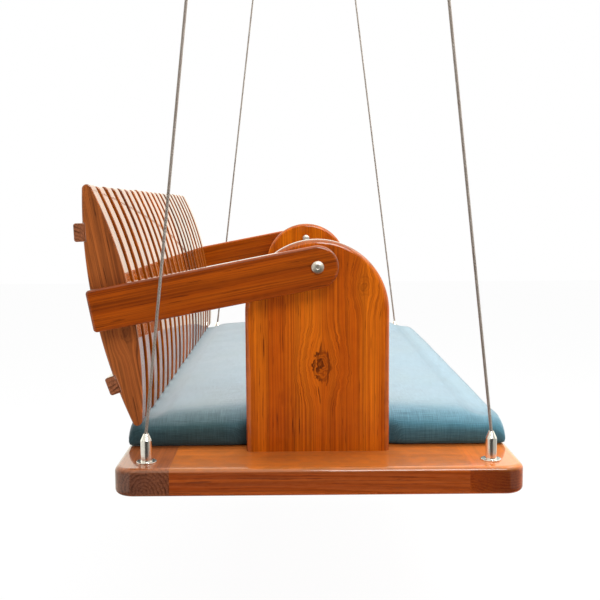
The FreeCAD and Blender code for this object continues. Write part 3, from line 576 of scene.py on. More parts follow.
# ---- backrest, in the arms' own directions from the pivot
droop = math.radians(10.8)
reachWay, riseWay = np.array((0, math.cos(droop), -math.sin(droop))), np.array((0, math.sin(droop), math.cos(droop)))
slat = {"count": 20, "thickness": 38, "depth": 63.2, "front": 760, "back": 850, "nose": 8, "edge": 2,
        "foot": 24.5, "notch": 30.2, "sink": 2.6, "rail spacing": 252}
arm = {"gap": 1.5, "thickness": 29, "width": 68.5, "edge": 5, "corner": 6, "overhang": 2}
# the inner slats take a darker teak than the end slat, as painted shade for their sides in the gaps
slatTeakShaded = {"Light": (182, 92, 10), "Middle": (124, 55, 4), "Dark": (48, 19, 3), "End Tone": (150, 92, 62)}
endSlatTeak = {"Light": (184, 100, 44), "Middle": (148, 75, 32), "Dark": (62, 32, 17), "End Tone": (150, 92, 62)}
armTeak = {"Light": (180, 82, 8), "Middle": (138, 54, 4), "Dark": (62, 20, 3), "End Tone": (110, 52, 26)}
panelOuter = (panel["inner"] + panel["thickness"]) * mm
armInner = panelOuter + arm["gap"] * mm

# where the lens's arcs and noses lie, from the radii and the foot's place inside the bench's edge
front, back, nose = slat["front"] * mm, slat["back"] * mm, slat["nose"] * mm
apart = front + back - slat["depth"] * mm
ahead = (apart ** 2 + (back - nose) ** 2 - (front - nose) ** 2) / (2 * apart)
noseRise = math.sqrt((back - nose) ** 2 - ahead ** 2)
footPlace = (bench["width"] / 2 - slat["foot"]) * mm
noseReach = (footPlace + noseRise * math.sin(droop)) / math.cos(droop)
backCenter = noseReach - ahead
frontCenter = backCenter + apart
backReach = backCenter + back
frontTurn, backTurn = math.asin(noseRise / (front - nose)), math.asin(noseRise / (back - nose))
railTurn = math.asin(slat["rail spacing"] / 2 * mm / back)


def notchRun(turn):
    # into the lens beside a back rail and out again, square to the back arc
    out = np.array((math.cos(turn), math.sin(turn)))
    along = np.array((-math.sin(turn), math.cos(turn)))
    half, sink = slat["notch"] / 2 * mm, slat["sink"] * mm
    mouth = math.sqrt(back ** 2 - half ** 2)
    center = np.array((backCenter, 0.0))
    points, ways = [], []
    for side, depths in ((-1, (0, sink)), (1, (sink, 0))):
        for depth in depths:
            points.append(center + out * (mouth - depth) + along * side * half)
            ways.append(-out)
    return np.array(points), np.array(ways)


def slatRun():
    # back arc with its notches, upper nose, front arc, lower nose
    gape = math.asin(slat["notch"] / 2 * mm / back)
    step = 0.004
    runs = [arcRun((backCenter, 0), back, -backTurn, -railTurn - gape - step, 8), notchRun(-railTurn),
            arcRun((backCenter, 0), back, -railTurn + gape + step, railTurn - gape - step, 20), notchRun(railTurn),
            arcRun((backCenter, 0), back, railTurn + gape + step, backTurn, 8),
            arcRun((noseReach, noseRise), nose, backTurn + 0.2, math.pi - frontTurn - 0.2, 11),
            arcRun((frontCenter, 0), front, math.pi - frontTurn, math.pi + frontTurn, 41),
            arcRun((noseReach, -noseRise), nose, math.pi + frontTurn + 0.2, 2 * math.pi - backTurn - 0.2, 11)]
    return joinRuns(runs)


# inner slats: a darker copy of the teak, painted shade for the gaps between them
slatLookShaded = teakMaterial("teakSlatShaded", dict(slatTeakShaded, Pith=(0, 0.02, -0.12), Ring=0.009, Figure=1.0), 0.03, 1.7)
endSlatLook = teakMaterial("teakEndSlat", dict(endSlatTeak, Pith=(0, 0.35, -0.03), Ring=0.007, Figure=1.5,
                                               **{"Second Knot": (-0.045, 0.322, 0.0), "Knot": (0.34, 0.33, 0.0)}), 0.03, 1.7)
lens2d = slatRun()
slatHand = np.random.default_rng(3)
for index in range(slat["count"]):
    node = f"back_slat_{index + 1:02d}"
    share = 2 * index / (slat["count"] - 1) - 1
    center = pivot + np.array(alongX) * share * (armInner - slat["thickness"] / 2 * mm)
    rows = boardRows(lens2d, slat["thickness"] * mm, slat["edge"] * mm, steps=3)
    # hand work: the tips are trimmed a little unevenly and the fronts planed by eye
    trim, plane = slatHand.uniform(0, 1, 2)
    trim = (trim * 2.5 + 4.5 * (share + 1) / 2) * mm * (abs(share) < 1 or share > 0)
    tipward = np.clip((rows[..., 1] - 0.13) / (noseRise - 0.13), 0, 1)
    rows[..., 1] -= trim * tipward
    rows[..., 0] += plane * 0.9 * mm * np.clip((backReach - rows[..., 0]) / (slat["depth"] * mm), 0, 1)
    piece = addPiece(node + "_board", *shell(inBasis(rows, center, (reachWay, riseWay, alongX))))
    nearEnd = index == 0
    setGrain(piece, center, (riseWay, reachWay, alongX), np.zeros(3) if nearEnd else None,
             0.1 if nearEnd else slatHand.uniform(-0.9, 0.9))
    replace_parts(settle(piece, "back", endSlatLook if nearEnd else slatLookShaded), node)


def armBoard(name, side, look):
    # a half round about the pivot and a square back end with small corners
    half, corner = arm["width"] / 2 * mm, arm["corner"] * mm
    reach = backReach + arm["overhang"] * mm
    quarter = math.pi / 2
    run = joinRuns([
        arcRun((reach - corner, corner - half), corner, -quarter, 0, 7),
        arcRun((reach - corner, half - corner), corner, 0, quarter, 7),
        arcRun((0, 0), half, quarter, 3 * quarter, 41)])
    thickness = arm["thickness"] * mm
    center = pivot + np.array(alongX) * side * (armInner + thickness / 2)
    rows = boardRows(run, thickness, arm["edge"] * mm, steps=4)
    piece = addPiece(name + "_board", *shell(inBasis(rows, center, (reachWay, riseWay, alongX))))
    setGrain(piece, center, (reachWay, riseWay, alongX))
    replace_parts(settle(piece, "back", look), name)


armLook = dict(armTeak, Pith=(0, 0.05, -0.1), Ring=0.01, Figure=0.9)
armBoard("right_arm", -1, teakMaterial("teakRightArm", armLook))
armBoard("left_arm", 1, teakMaterial("teakLeftArm", armLook))

backRail = {"height": 30, "depth": 17.5, "let in": 2.5, "corner": 4, "edge": 1.5}
railLook = teakMaterial("teakBackRail", dict(endSlatTeak, Pith=(0, 0.02, -0.05), Ring=0.006))


def railRun():
    # square corners inside the notch, small rounds behind
    half, corner = backRail["height"] / 2 * mm, backRail["corner"] * mm
    inner, outer = -backRail["let in"] * mm, (backRail["depth"] - backRail["let in"]) * mm
    quarter = math.pi / 2
    return joinRuns([(np.array([(inner, -half), (outer - corner - 0.001, -half)]), np.array([(1.0, 1.0), (0.0, 1.0)])),
                     arcRun((outer - corner, corner - half), corner, -quarter, 0, 6),
                     arcRun((outer - corner, half - corner), corner, 0, quarter, 6),
                     (np.array([(outer - corner - 0.001, half), (inner, half)]), np.array([(0.0, -1.0), (1.0, -1.0)]))])


for name, turn in (("upper_back_rail", railTurn), ("lower_back_rail", -railTurn)):
    run = railRun()
    rows = boardRows(run, 2 * armInner, backRail["edge"] * mm, 3)
    out = math.cos(turn) * reachWay + math.sin(turn) * riseWay
    up = math.cos(turn) * riseWay - math.sin(turn) * reachWay
    center = pivot + reachWay * backCenter + out * back
    piece = addPiece(name + "_board", *shell(inBasis(rows, center, (out, up, alongX))))
    setGrain(piece, center, (alongX, out, up))
    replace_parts(settle(piece, "back", railLook), name)
print("backrest built")


# ---- steel

def buildSteelGroup():
    # the lathe's fine rings, from the radius and height of a turned piece, with faint smears of handling
    tree, given, out = newGroup("steelFinish", [("Place", vectorSocket, None), ("Lathe", vectorSocket, None),
                                                ("Lines", numberSocket, 0.5)],
                                [("Shade", numberSocket), ("Height", numberSocket)])
    lines = noise(tree, vectors(tree, "MULTIPLY", given["Lathe"], (1900.0, 3.0, 1300.0)), 1, 2, 0.6)
    smear = noise(tree, given["Place"], 60, 3, 0.6)
    tree.links.new(sums(tree, "ADD", sums(tree, "MULTIPLY", lines, given["Lines"]),
                        sums(tree, "MULTIPLY", smear, sums(tree, "SUBTRACT", 1.0, given["Lines"]))), out.inputs["Shade"])
    tree.links.new(sums(tree, "MULTIPLY", lines, given["Lines"]), out.inputs["Height"])
    return tree


steelGroup = buildSteelGroup()


def setLathe(piece, centers, axis):
    # each point's radius about the nearest centre, its turn and its height along the axis
    spots, axis = vertexArray(piece.data), np.array(axis, float)
    away = spots[:, None] - np.array(centers)[None]
    height = away @ axis
    radial = away - height[..., None] * axis
    radius = np.linalg.norm(radial, axis=2)
    nearest = np.argmin(np.linalg.norm(away, axis=2), axis=1)
    pick = np.arange(len(spots))
    turn = np.arctan2(radial[pick, nearest, 2] + radial[pick, nearest, 0] * axis[2], radial[pick, nearest, 1])
    lathe = np.stack([radius[pick, nearest], np.abs(turn) / math.pi, height[pick, nearest]], 1)
    piece.data.attributes.new("lathe", "FLOAT_VECTOR", "POINT").data.foreach_set("vector", lathe.astype(np.float32).ravel())


def steelMaterial(name, light, dark, rough, lines=0.5):
    material, tree, shader = newMaterial(name)
    place = addNode(tree, "ShaderNodeTexCoord").outputs["Object"]
    steel = addNode(tree, "ShaderNodeGroup", {}, node_tree=steelGroup)
    steel.inputs["Lines"].default_value = lines
    tree.links.new(place, steel.inputs["Place"])
    lathe = addNode(tree, "ShaderNodeAttribute", attribute_name="lathe").outputs["Vector"]
    tree.links.new(lathe, steel.inputs["Lathe"])
    tree.links.new(mixed(tree, steel.outputs["Shade"], tone(*light), tone(*dark)), shader.inputs["Base Color"])
    tree.links.new(spread(tree, steel.outputs["Shade"], 0.2, 0.8, rough), shader.inputs["Roughness"])
    bumped(tree, shader, steel.outputs["Height"], 0.2, 0.0002)
    shader.inputs["Metallic"].default_value = 1.0
    return material


polished = steelMaterial("polishedSteel", (252, 248, 244), (226, 220, 216), (0.16, 0.26), 0.04)
brushed = steelMaterial("brushedSteel", (252, 244, 234), (196, 186, 176), (0.36, 0.5))
satin = steelMaterial("satinSteel", (196, 197, 200), (150, 151, 155), (0.28, 0.42))

ferrule = {"flange": 16, "body": 9, "tip": 4, "height": 46, "cone": 11, "mouth": 3.3, "stud": 5}
tipLevel = deckLevel + ferrule["height"] * mm
ferruleProfile = rounded([
    (0, -42), (ferrule["stud"], -42), (ferrule["stud"], 0), (ferrule["flange"], 0), (ferrule["flange"], 2),
    (ferrule["body"], 2), (ferrule["body"], ferrule["height"] - ferrule["cone"]), (ferrule["tip"], ferrule["height"]),
    (ferrule["mouth"], ferrule["height"]), (ferrule["mouth"], ferrule["height"] - 3), (0, ferrule["height"] - 3)], 0.5)
anchorRow = 0.2725
anchorSpots = [(x, y) for x in anchorPlaces for y in (-anchorRow, anchorRow)]
ferruleShells = [shell(inBasis(turnedRows(ferruleProfile), (x, y, deckLevel), (alongX, alongY, alongZ)))
                 for x, y in anchorSpots]
ferrules = settle(addPiece("ferrules_turned", *joinShells(ferruleShells)), "seat", polished,
                  ["rope_ferrules"])
setLathe(ferrules, [(x, y, deckLevel) for x, y in anchorSpots], alongZ)

bolt = {"rim": 10.2, "height": 5.5, "shank": 5}
headProfile = rounded([(0, -3), (bolt["shank"], -3), (bolt["shank"], 0), (bolt["rim"], 0), (bolt["rim"], 2.4),
                       (8.6, 4.3), (5.2, 5.3), (3.4, 5.5), (2.9, 4.9), (0, 4.9)], 0.7)
for piece, node, start, way in (("pivot_bolt_heads", "pivot_bolts", armInner + (arm["thickness"] + 0.3) * mm, 1),
                                ("pivot_cap_nuts", "pivot_nuts", panel["inner"] * mm, -1)):
    places = [pivot + np.array(alongX) * side * start for side in (-1, 1)]
    shells = [shell(inBasis(turnedRows(headProfile), place, (alongY, alongZ, (side * way, 0, 0))))
              for side, place in zip((-1, 1), places)]
    heads = settle(addPiece(piece, *joinShells(shells)), "seat", brushed, [node])
    setLathe(heads, places, alongX)
for node, material in (("pivot_washers", satin), ("anchor_nuts", satin)):
    frame["nodes"][node].data.materials.clear()
    frame["nodes"][node].data.materials.append(material)
print("steel fittings built")

# ---- ropes: a taut line from each ferrule's mouth to its eye, along the points of a NURBS route
rope = {"radius": 2.5, "strand": 0.84, "lay": 27, "steps": 12, "sides": 8, "sink": 1.6, "bite": 12}
eye = {"hole": 10, "outer": 16, "thickness": 9, "barrel": 4, "length": 46, "pin": 5}
ropeRise = 1062 * mm
pinX, pinY, frontShift = 773 * mm, 145 * mm, 2.3 * mm


def routeOf(start, end):
    # the rope's NURBS spline, read back as the points of its own mesh
    curve = bpy.data.curves.new("route", "CURVE")
    curve.dimensions = "3D"
    spline = curve.splines.new("NURBS")
    spline.points.add(2)
    for point, share in zip(spline.points, (0, 0.5, 1)):
        point.co = (*(start + (end - start) * share), 1)
    spline.order_u = 3
    spline.use_endpoint_u = True
    curve.resolution_u = 24
    holder = bpy.data.objects.new("route", curve)
    bpy.context.scene.collection.objects.link(holder)
    line = vertexArray(bpy.data.meshes.new_from_object(holder))
    bpy.data.objects.remove(holder)
    return line


def strandRows(line, radius, size, turnShare, length):
    # a strand: the route + radius (cos t, sin t) across it, with a ring of the strand's own size round that
    way = (line[-1] - line[0]) / np.linalg.norm(line[-1] - line[0])
    side = np.cross(way, alongY)
    side /= np.linalg.norm(side)
    other = np.cross(way, side)
    count = int(length / (rope["lay"] * mm) * rope["steps"])
    share = np.linspace(0, 1, count)
    known = np.linalg.norm(line - line[0], axis=1) / length
    center = np.stack([np.interp(share, known, line[:, axis]) for axis in range(3)], 1)
    turn = 2 * math.pi * (share * length / (rope["lay"] * mm) + turnShare)
    out = np.cos(turn)[:, None] * side + np.sin(turn)[:, None] * other
    around = np.cross(np.broadcast_to(way, out.shape), out)
    slope = 2 * math.pi * radius / (rope["lay"] * mm)
    tangent = way + around * slope
    tangent /= np.linalg.norm(tangent, axis=1)[:, None]
    across = np.cross(tangent, out)
    ring = np.arange(rope["sides"]) * 2 * math.pi / rope["sides"]
    return (center + out * radius)[:, None] + size * (np.cos(ring)[None, :, None] * out[:, None]
                                                      + np.sin(ring)[None, :, None] * across[:, None])


def ropeMaterial():
    # grey drawn wire, with fine wires wound across each strand and painted shade deep between the strands
    material, tree, shader = newMaterial("wireRope")
    uv = addNode(tree, "ShaderNodeUVMap", uv_map="lay").outputs[0]
    split = addNode(tree, "ShaderNodeSeparateXYZ", {0: uv}).outputs
    wires = sums(tree, "SINE", sums(tree, "MULTIPLY", sums(tree, "ADD", sums(tree, "MULTIPLY", split[0], 6.0),
                                                            sums(tree, "MULTIPLY", split[1], 190.0)), 6.283))
    grime = noise(tree, addNode(tree, "ShaderNodeTexCoord").outputs["Object"], 35, 3)
    groove = spread(tree, wires, -1.0, 0.2)
    color = mixed(tree, groove, tone(104, 90, 80), tone(198, 188, 180))
    color = mixed(tree, spread(tree, grime, 0.35, 0.7), color, mixed(tree, 0.35, color, tone(140, 122, 110)))
    crest = addNode(tree, "ShaderNodeAttribute", attribute_name="crest").outputs["Fac"]
    # painted shade: dark where the surface lies deep between the strands
    color = mixed(tree, spread(tree, crest, 0.9, 0.7, (0.0, 0.95)), color, tone(46, 36, 32))
    tree.links.new(color, shader.inputs["Base Color"])
    shader.inputs["Metallic"].default_value = 0.6
    shader.inputs["Roughness"].default_value = 0.45
    bumped(tree, shader, wires, 0.5, 0.0001)
    return material


ropeLook = ropeMaterial()


def eyePiece(name, place, axes, gap):
    # a ring of rounded section round the pin, over a barrel with three pressed waists
    drop = (eye["hole"] - eye["pin"] - gap) * mm
    middle, half, endShade = (eye["hole"] + eye["outer"]) / 2 * mm, (eye["outer"] - eye["hole"]) / 2 * mm, eye["thickness"] / 2 * mm
    section, _ = roundedRectangle((-half, -endShade), (half, endShade), 0.0016, 4)
    turn = np.arange(56) * 2 * math.pi / 56
    radial = np.stack([np.zeros(56), np.cos(turn), np.sin(turn)], 1)
    ring = radial[:, None] * (middle + section[None, :, 0, None]) + np.array(alongX) * section[None, :, 1, None]
    ring[..., 2] -= drop
    count, cols = ring.shape[:2]
    ringFaces = gridFaces(count, cols) + [[(count - 1) * cols + i, (count - 1) * cols + (i + 1) % cols, (i + 1) % cols, i]
                                          for i in range(cols)]
    shoulder = -drop / mm - (eye["hole"] + eye["outer"]) / 2
    foot = -drop / mm - eye["outer"] - eye["length"]
    profile = [(0, foot), (3.2, foot), (eye["barrel"], foot + 1.5)]
    for waist in (0.2, 0.45, 0.7):
        level = foot + waist * eye["length"]
        profile += [(eye["barrel"], level - 3), (eye["barrel"] - 0.35, level), (eye["barrel"], level + 3)]
    profile += [(eye["barrel"], shoulder), (0, shoulder)]
    barrel = shell(turnedRows(rounded(profile, 0.8), 40))
    points, faces = joinShells([(ring.reshape(-1, 3), ringFaces), barrel])
    return addPiece(name, inBasis(points, place, axes), faces)


for row, side, shift, gap in (("rear", 1, 0.0, 0.6), ("front", -1, frontShift, 1.7)):
    for name, end in (("left", 1), ("right", -1)):
        tip = np.array((end * 0.717, side * anchorRow, tipLevel))
        pin = np.array((end * pinX, side * pinY, tipLevel + ropeRise))
        way = (pin - tip) / np.linalg.norm(pin - tip)
        run = np.linalg.norm(pin - tip)
        drop = (eye["hole"] - eye["pin"] - gap) * mm
        barrelFoot = run - drop - (eye["outer"] + eye["length"]) * mm
        start, top = tip - way * rope["sink"] * mm, tip + way * (barrelFoot + rope["bite"] * mm)
        length = np.linalg.norm(top - start)
        line = routeOf(start, top)
        lay = rope["radius"] * mm - rope["strand"] * mm
        shells = [shell(strandRows(line, 0.0, lay * 0.92, 0, length))]
        shells += [shell(strandRows(line, lay, rope["strand"] * mm, k / 6, length)) for k in range(6)]
        label = f"{row}_{name}_rope"
        piece = addPiece(label + "_strands", *joinShells(shells), sharp=60)
        uv = piece.data.uv_layers.new(name="lay")
        corners = np.zeros(len(piece.data.loops), int)
        piece.data.loops.foreach_get("vertex_index", corners)
        spots = vertexArray(piece.data)[corners]
        along = (spots - start) @ way
        angle = np.arctan2(spots[:, 1] - (start[1] + along * way[1]), spots[:, 0] - (start[0] + along * way[0]))
        turns = angle / (2 * math.pi)
        uv.data.foreach_set("uv", np.stack([turns, along], 1).astype(np.float32).ravel())
        # how far each point stands out from the rope's middle, for the painted shade between the strands
        everywhere = vertexArray(piece.data) - start
        crest = np.linalg.norm(everywhere - (everywhere @ way)[:, None] * way, axis=1) / (rope["radius"] * mm)
        piece.data.attributes.new("crest", "FLOAT", "POINT").data.foreach_set("value", crest.astype(np.float32))
        body = row + "_ropes"
        settle(piece, body, ropeLook, [label])
        # the eye's ring lies across the rope, in the same lean as the rope itself
        axis = np.array((side * 0.1275, end * 0.056, 0.0))
        turnBy = math.acos(ropeRise / run)
        lean = Matrix.Rotation(turnBy, 3, Vector(axis).normalized())
        axes = [np.array(lean @ Vector(v)) for v in (alongX, alongY, alongZ)]
        eyeObject = eyePiece(f"{row}_{name}_eye", pin, axes, gap)
        settle(eyeObject, body, satin, [row + "_rope_eyes"])
print("ropes hung")

# ---- ceiling bars
bar = {"width": 60, "end": 45, "thickness": 6, "corner": 10, "edge": 0.9, "hole": 4.5, "hole spacing": 200,
       "cheek": 6, "gap": 18, "top half": 22, "foot half": 13, "pin": 5, "pin drop": 26}


def ceilingBar(name, end):
    # a flat bar with two screw holes, and under it two forks of two cheeks and a cross pin
    halfLength = pinY + frontShift / 2 + bar["end"] * mm
    halfWidth, thickness = bar["width"] / 2 * mm, bar["thickness"] * mm
    center = np.array((end * pinX, -frontShift / 2, 0))
    plate = boardRows(roundedRectangle((-halfWidth, -halfLength), (halfWidth, halfLength), bar["corner"] * mm, 6),
                      thickness, bar["edge"] * mm, 2)
    piece = addPiece(name + "_steel", *shell(inBasis(plate, center - np.array((0, 0, thickness / 2)),
                                                     (alongX, alongY, alongZ))))
    cutters = []
    for row in (-1, 1):
        hole = shell(inBasis(turnedRows([(0, -10), (bar["hole"], -10), (bar["hole"], 4), (0, 4)], 32),
                             center + np.array((0, row * bar["hole spacing"] / 2 * mm, 0)), (alongX, alongY, alongZ)))
        cutters.append(addPiece("hole", *hole))
    carve(piece, cutters)
    top, foot, low = bar["top half"] * mm, bar["foot half"] * mm, (bar["pin drop"] + bar["foot half"]) * mm
    shells = []
    for row in (-1, 1):
        place = center + np.array((0, row * (pinY + frontShift / 2), 0))
        outline = joinRuns([
            (np.array([(top, -thickness / 2)]), np.array([(0.0, 0.0)])),
            (np.array([(-top, -thickness / 2)]), np.array([(0.0, 0.0)])),
            arcRun((0, foot - low), foot, math.pi, 2 * math.pi, 21)])
        for cheek in (-1, 1):
            rows = boardRows(outline, bar["cheek"] * mm, bar["edge"] * mm, 2)
            offset = np.array((cheek * (bar["gap"] + bar["cheek"]) / 2 * mm, 0, 0))
            shells.append(shell(inBasis(rows, place + offset, (alongY, alongZ, alongX))))
        half = bar["gap"] / 2 + bar["cheek"]
        pinProfile = rounded([(0, -half), (bar["pin"], -half), (bar["pin"], half), (0, half)], 0.8)
        shells.append(shell(inBasis(turnedRows(pinProfile, 40), place - np.array((0, 0, bar["pin drop"] * mm)),
                                    (alongY, alongZ, alongX))))
    forks = addPiece(name + "_forks", *joinShells(shells))
    for part in (piece, forks):
        settle(part, "ceiling", satin, [name])


for name, end in (("left_ceiling_bar", 1), ("right_ceiling_bar", -1)):
    ceilingBar(name, end)
print("ceiling bars built")

# ---- cushion
cushion = {"half length": 620.8, "half depth": 318, "edge": 43.5, "crown": 13, "tuck": 4, "float": 0.4, "voxel": 6.5,
           "swelling": 7.5,
           "near sections": ((0, 1, 1, 5), (0.7, 1, 1, 6), (0.84, 1, 1.004, 7), (0.89, 1, 1.01, 8), (0.93, 0.98, 1.014, 10),
                             (0.96, 0.93, 1.015, 14), (0.985, 0.84, 1.012, 20), (1, 0.66, 1.002, 26)),
           "far sections": ((0, 1, 1, 5), (0.7, 1.03, 1, 8), (0.86, 1.1, 1, 14), (0.93, 1.12, 1, 22), (0.965, 1.08, 0.998, 30),
                            (0.985, 0.98, 0.994, 34), (1, 0.74, 0.982, 34))}


def cushionRows():
    # a closed section, flat below, tucked at its foot and crowned; its height, width and shoulder change along the length
    knots = np.array([(0.8, 0, 0), (0.2, 0, 0.07), (0, 0, 0.18), (0, 0.05, 0.34), (0, 0.17, 0.58), (0, 0.36, 0.8),
                      (0, 0.66, 0.95), (0, 1, 1)])
    places = np.concatenate([np.linspace(0, 0.9, 28), np.linspace(0.92, 1, 9)])
    places = np.concatenate([-places[:0:-1], places])
    near, far = np.array(cushion["near sections"]), np.array(cushion["far sections"])
    heights, widths, shoulders = (np.where(places < 0, np.interp(-places, near[:, 0], near[:, k]),
                                           np.interp(places, far[:, 0], far[:, k])) for k in (1, 2, 3))
    rows = []
    for place, high, wide, shoulder in zip(places, heights, widths, shoulders):
        half, edge = wide * cushion["half depth"], high * cushion["edge"]
        across = half - knots[:, 0] * cushion["tuck"] - knots[:, 1] * shoulder
        up = knots[:, 2] * edge
        top = np.linspace(across[-1], 0, 14)[1:]
        crown = edge + high * cushion["crown"] * (1 - (top / across[-1]) ** 2)
        ySide = np.concatenate([across, top])
        zSide = np.concatenate([up, crown])
        y = np.concatenate([ySide, -ySide[-2::-1], np.linspace(-across[0], across[0], 22)[1:-1]])
        z = np.concatenate([zSide, zSide[-2::-1], np.zeros(20)])
        rows.append(np.stack([np.full(len(y), place * cushion["half length"]), y, z], 1))
    return np.array(rows) * mm + np.array((0, 0, deckLevel + cushion["float"] * mm))


pad = addPiece("seat_cushion", *shell(cushionRows()), sharp=80)


def applied(piece):
    # the piece's mesh as its modifiers leave it
    bpy.context.view_layer.update()
    result = bpy.data.meshes.new_from_object(piece.evaluated_get(bpy.context.evaluated_depsgraph_get()))
    piece.modifiers.clear()
    old, piece.data = piece.data, result
    bpy.data.meshes.remove(old)


def moveTo(piece, spots):
    piece.data.vertices.foreach_set("co", spots.astype(np.float32).ravel())
    piece.data.update()


def eased(share):
    # 0 to 1 with level ends: t t (3 - 2 t)
    share = np.clip(share, 0, 1)
    return share * share * (3 - 2 * share)


remesh = pad.modifiers.new("remesh", "REMESH")
remesh.mode, remesh.voxel_size = "VOXEL", cushion["voxel"] * mm
applied(pad)
swell = {"pressure": 4.0, "frames": 20, "cap": 4.0}
startSpots = vertexArray(pad.data)
cloth = pad.modifiers.new("cloth", "CLOTH")
cloth.settings.quality = 5
cloth.settings.mass = 0.3
cloth.settings.use_pressure = True
cloth.settings.uniform_pressure_force = swell["pressure"]
cloth.settings.effector_weights.gravity = 0
cloth.point_cache.frame_end = swell["frames"]
for step in range(1, swell["frames"] + 1):
    bpy.context.scene.frame_set(step)
applied(pad)
bpy.context.scene.frame_set(1)
moved = vertexArray(pad.data) - startSpots
far = np.linalg.norm(moved, axis=1)[:, None]
moved *= np.minimum(1, swell["cap"] * mm / np.maximum(far, 1e-9))
moveTo(pad, startSpots + moved)
smooth = pad.modifiers.new("smooth", "SMOOTH")
smooth.factor, smooth.iterations = 0.5, 4
applied(pad)

# the smoothing's loss is given back, the ends swell beside the panels and the cover wanders a little
spots = vertexArray(pad.data) + vertexArray(pad.data, "normal") * 0.0012
x, y, z = spots.T.copy()
panelHalf = panel["width"] / 2 * mm
beside = eased((np.abs(y) - panelHalf - 0.001) / 0.022)
level = np.clip((z - deckLevel) / (cushion["edge"] * mm), 0, 1)
x += np.sign(x) * cushion["swelling"] * mm * eased((np.abs(x) - 0.56) / 0.06) * beside * (0.55 + 0.45 * np.sin(level * 3.1))
wave = (np.sin(x * 17 + y * 9) * np.sin(y * 13 - x * 5 + 1) * 0.5 + np.sin(x * 41 + 2) * np.sin(y * 29 + x * 11) * 0.25) * 0.0011
pucker = np.sin(y * 95 + np.sin(y * 31) * 2) * 0.0007 * eased((np.abs(x) - 0.585) / 0.03)
z += (wave + pucker) * eased((z - deckLevel - 0.02) / 0.02)

# it stays between the panels, on the deck and under the slats' feet on either side
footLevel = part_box("back_slat_10")[0].z - 0.0006
away = np.clip(footPlace - 0.011 - np.abs(y), 0, 1)
limit = footLevel + away * (0.06 + away * 9)
z = (z + limit - np.sqrt((z - limit) ** 2 + 0.003 ** 2)) / 2
z = np.maximum(z, deckLevel + 0.0004)
wall = (panel["inner"] - 0.6) * mm
x = np.where(np.abs(y) < panelHalf + 0.002, np.clip(x, -wall, wall), x)
moveTo(pad, np.stack([x, y, z], 1))
pad.data.shade_smooth()

# cloth coordinates run over the top and down the sides, so that the weave follows the cover
spots, normals = vertexArray(pad.data), vertexArray(pad.data, "normal")
drop = np.maximum(deckLevel + cushion["edge"] * mm - spots[:, 2], 0)
ends = np.abs(normals[:, 0]) / (np.abs(normals[:, 0]) + np.abs(normals[:, 1]) + 1e-6)
u = spots[:, 0] + np.sign(spots[:, 0]) * drop * ends
v = spots[:, 1] + np.sign(spots[:, 1]) * drop * (1 - ends)
weave = np.stack([u, v, np.zeros_like(u)], 1)
pad.data.attributes.new("weave", "FLOAT_VECTOR", "POINT").data.foreach_set("vector", weave.astype(np.float32).ravel())
# how far the cover faces up, which the material uses for painted light on the top and painted shade on the sides
upward = np.clip(normals[:, 2], 0, 1).astype(np.float32)
pad.data.attributes.new("upward", "FLOAT", "POINT").data.foreach_set("value", upward)


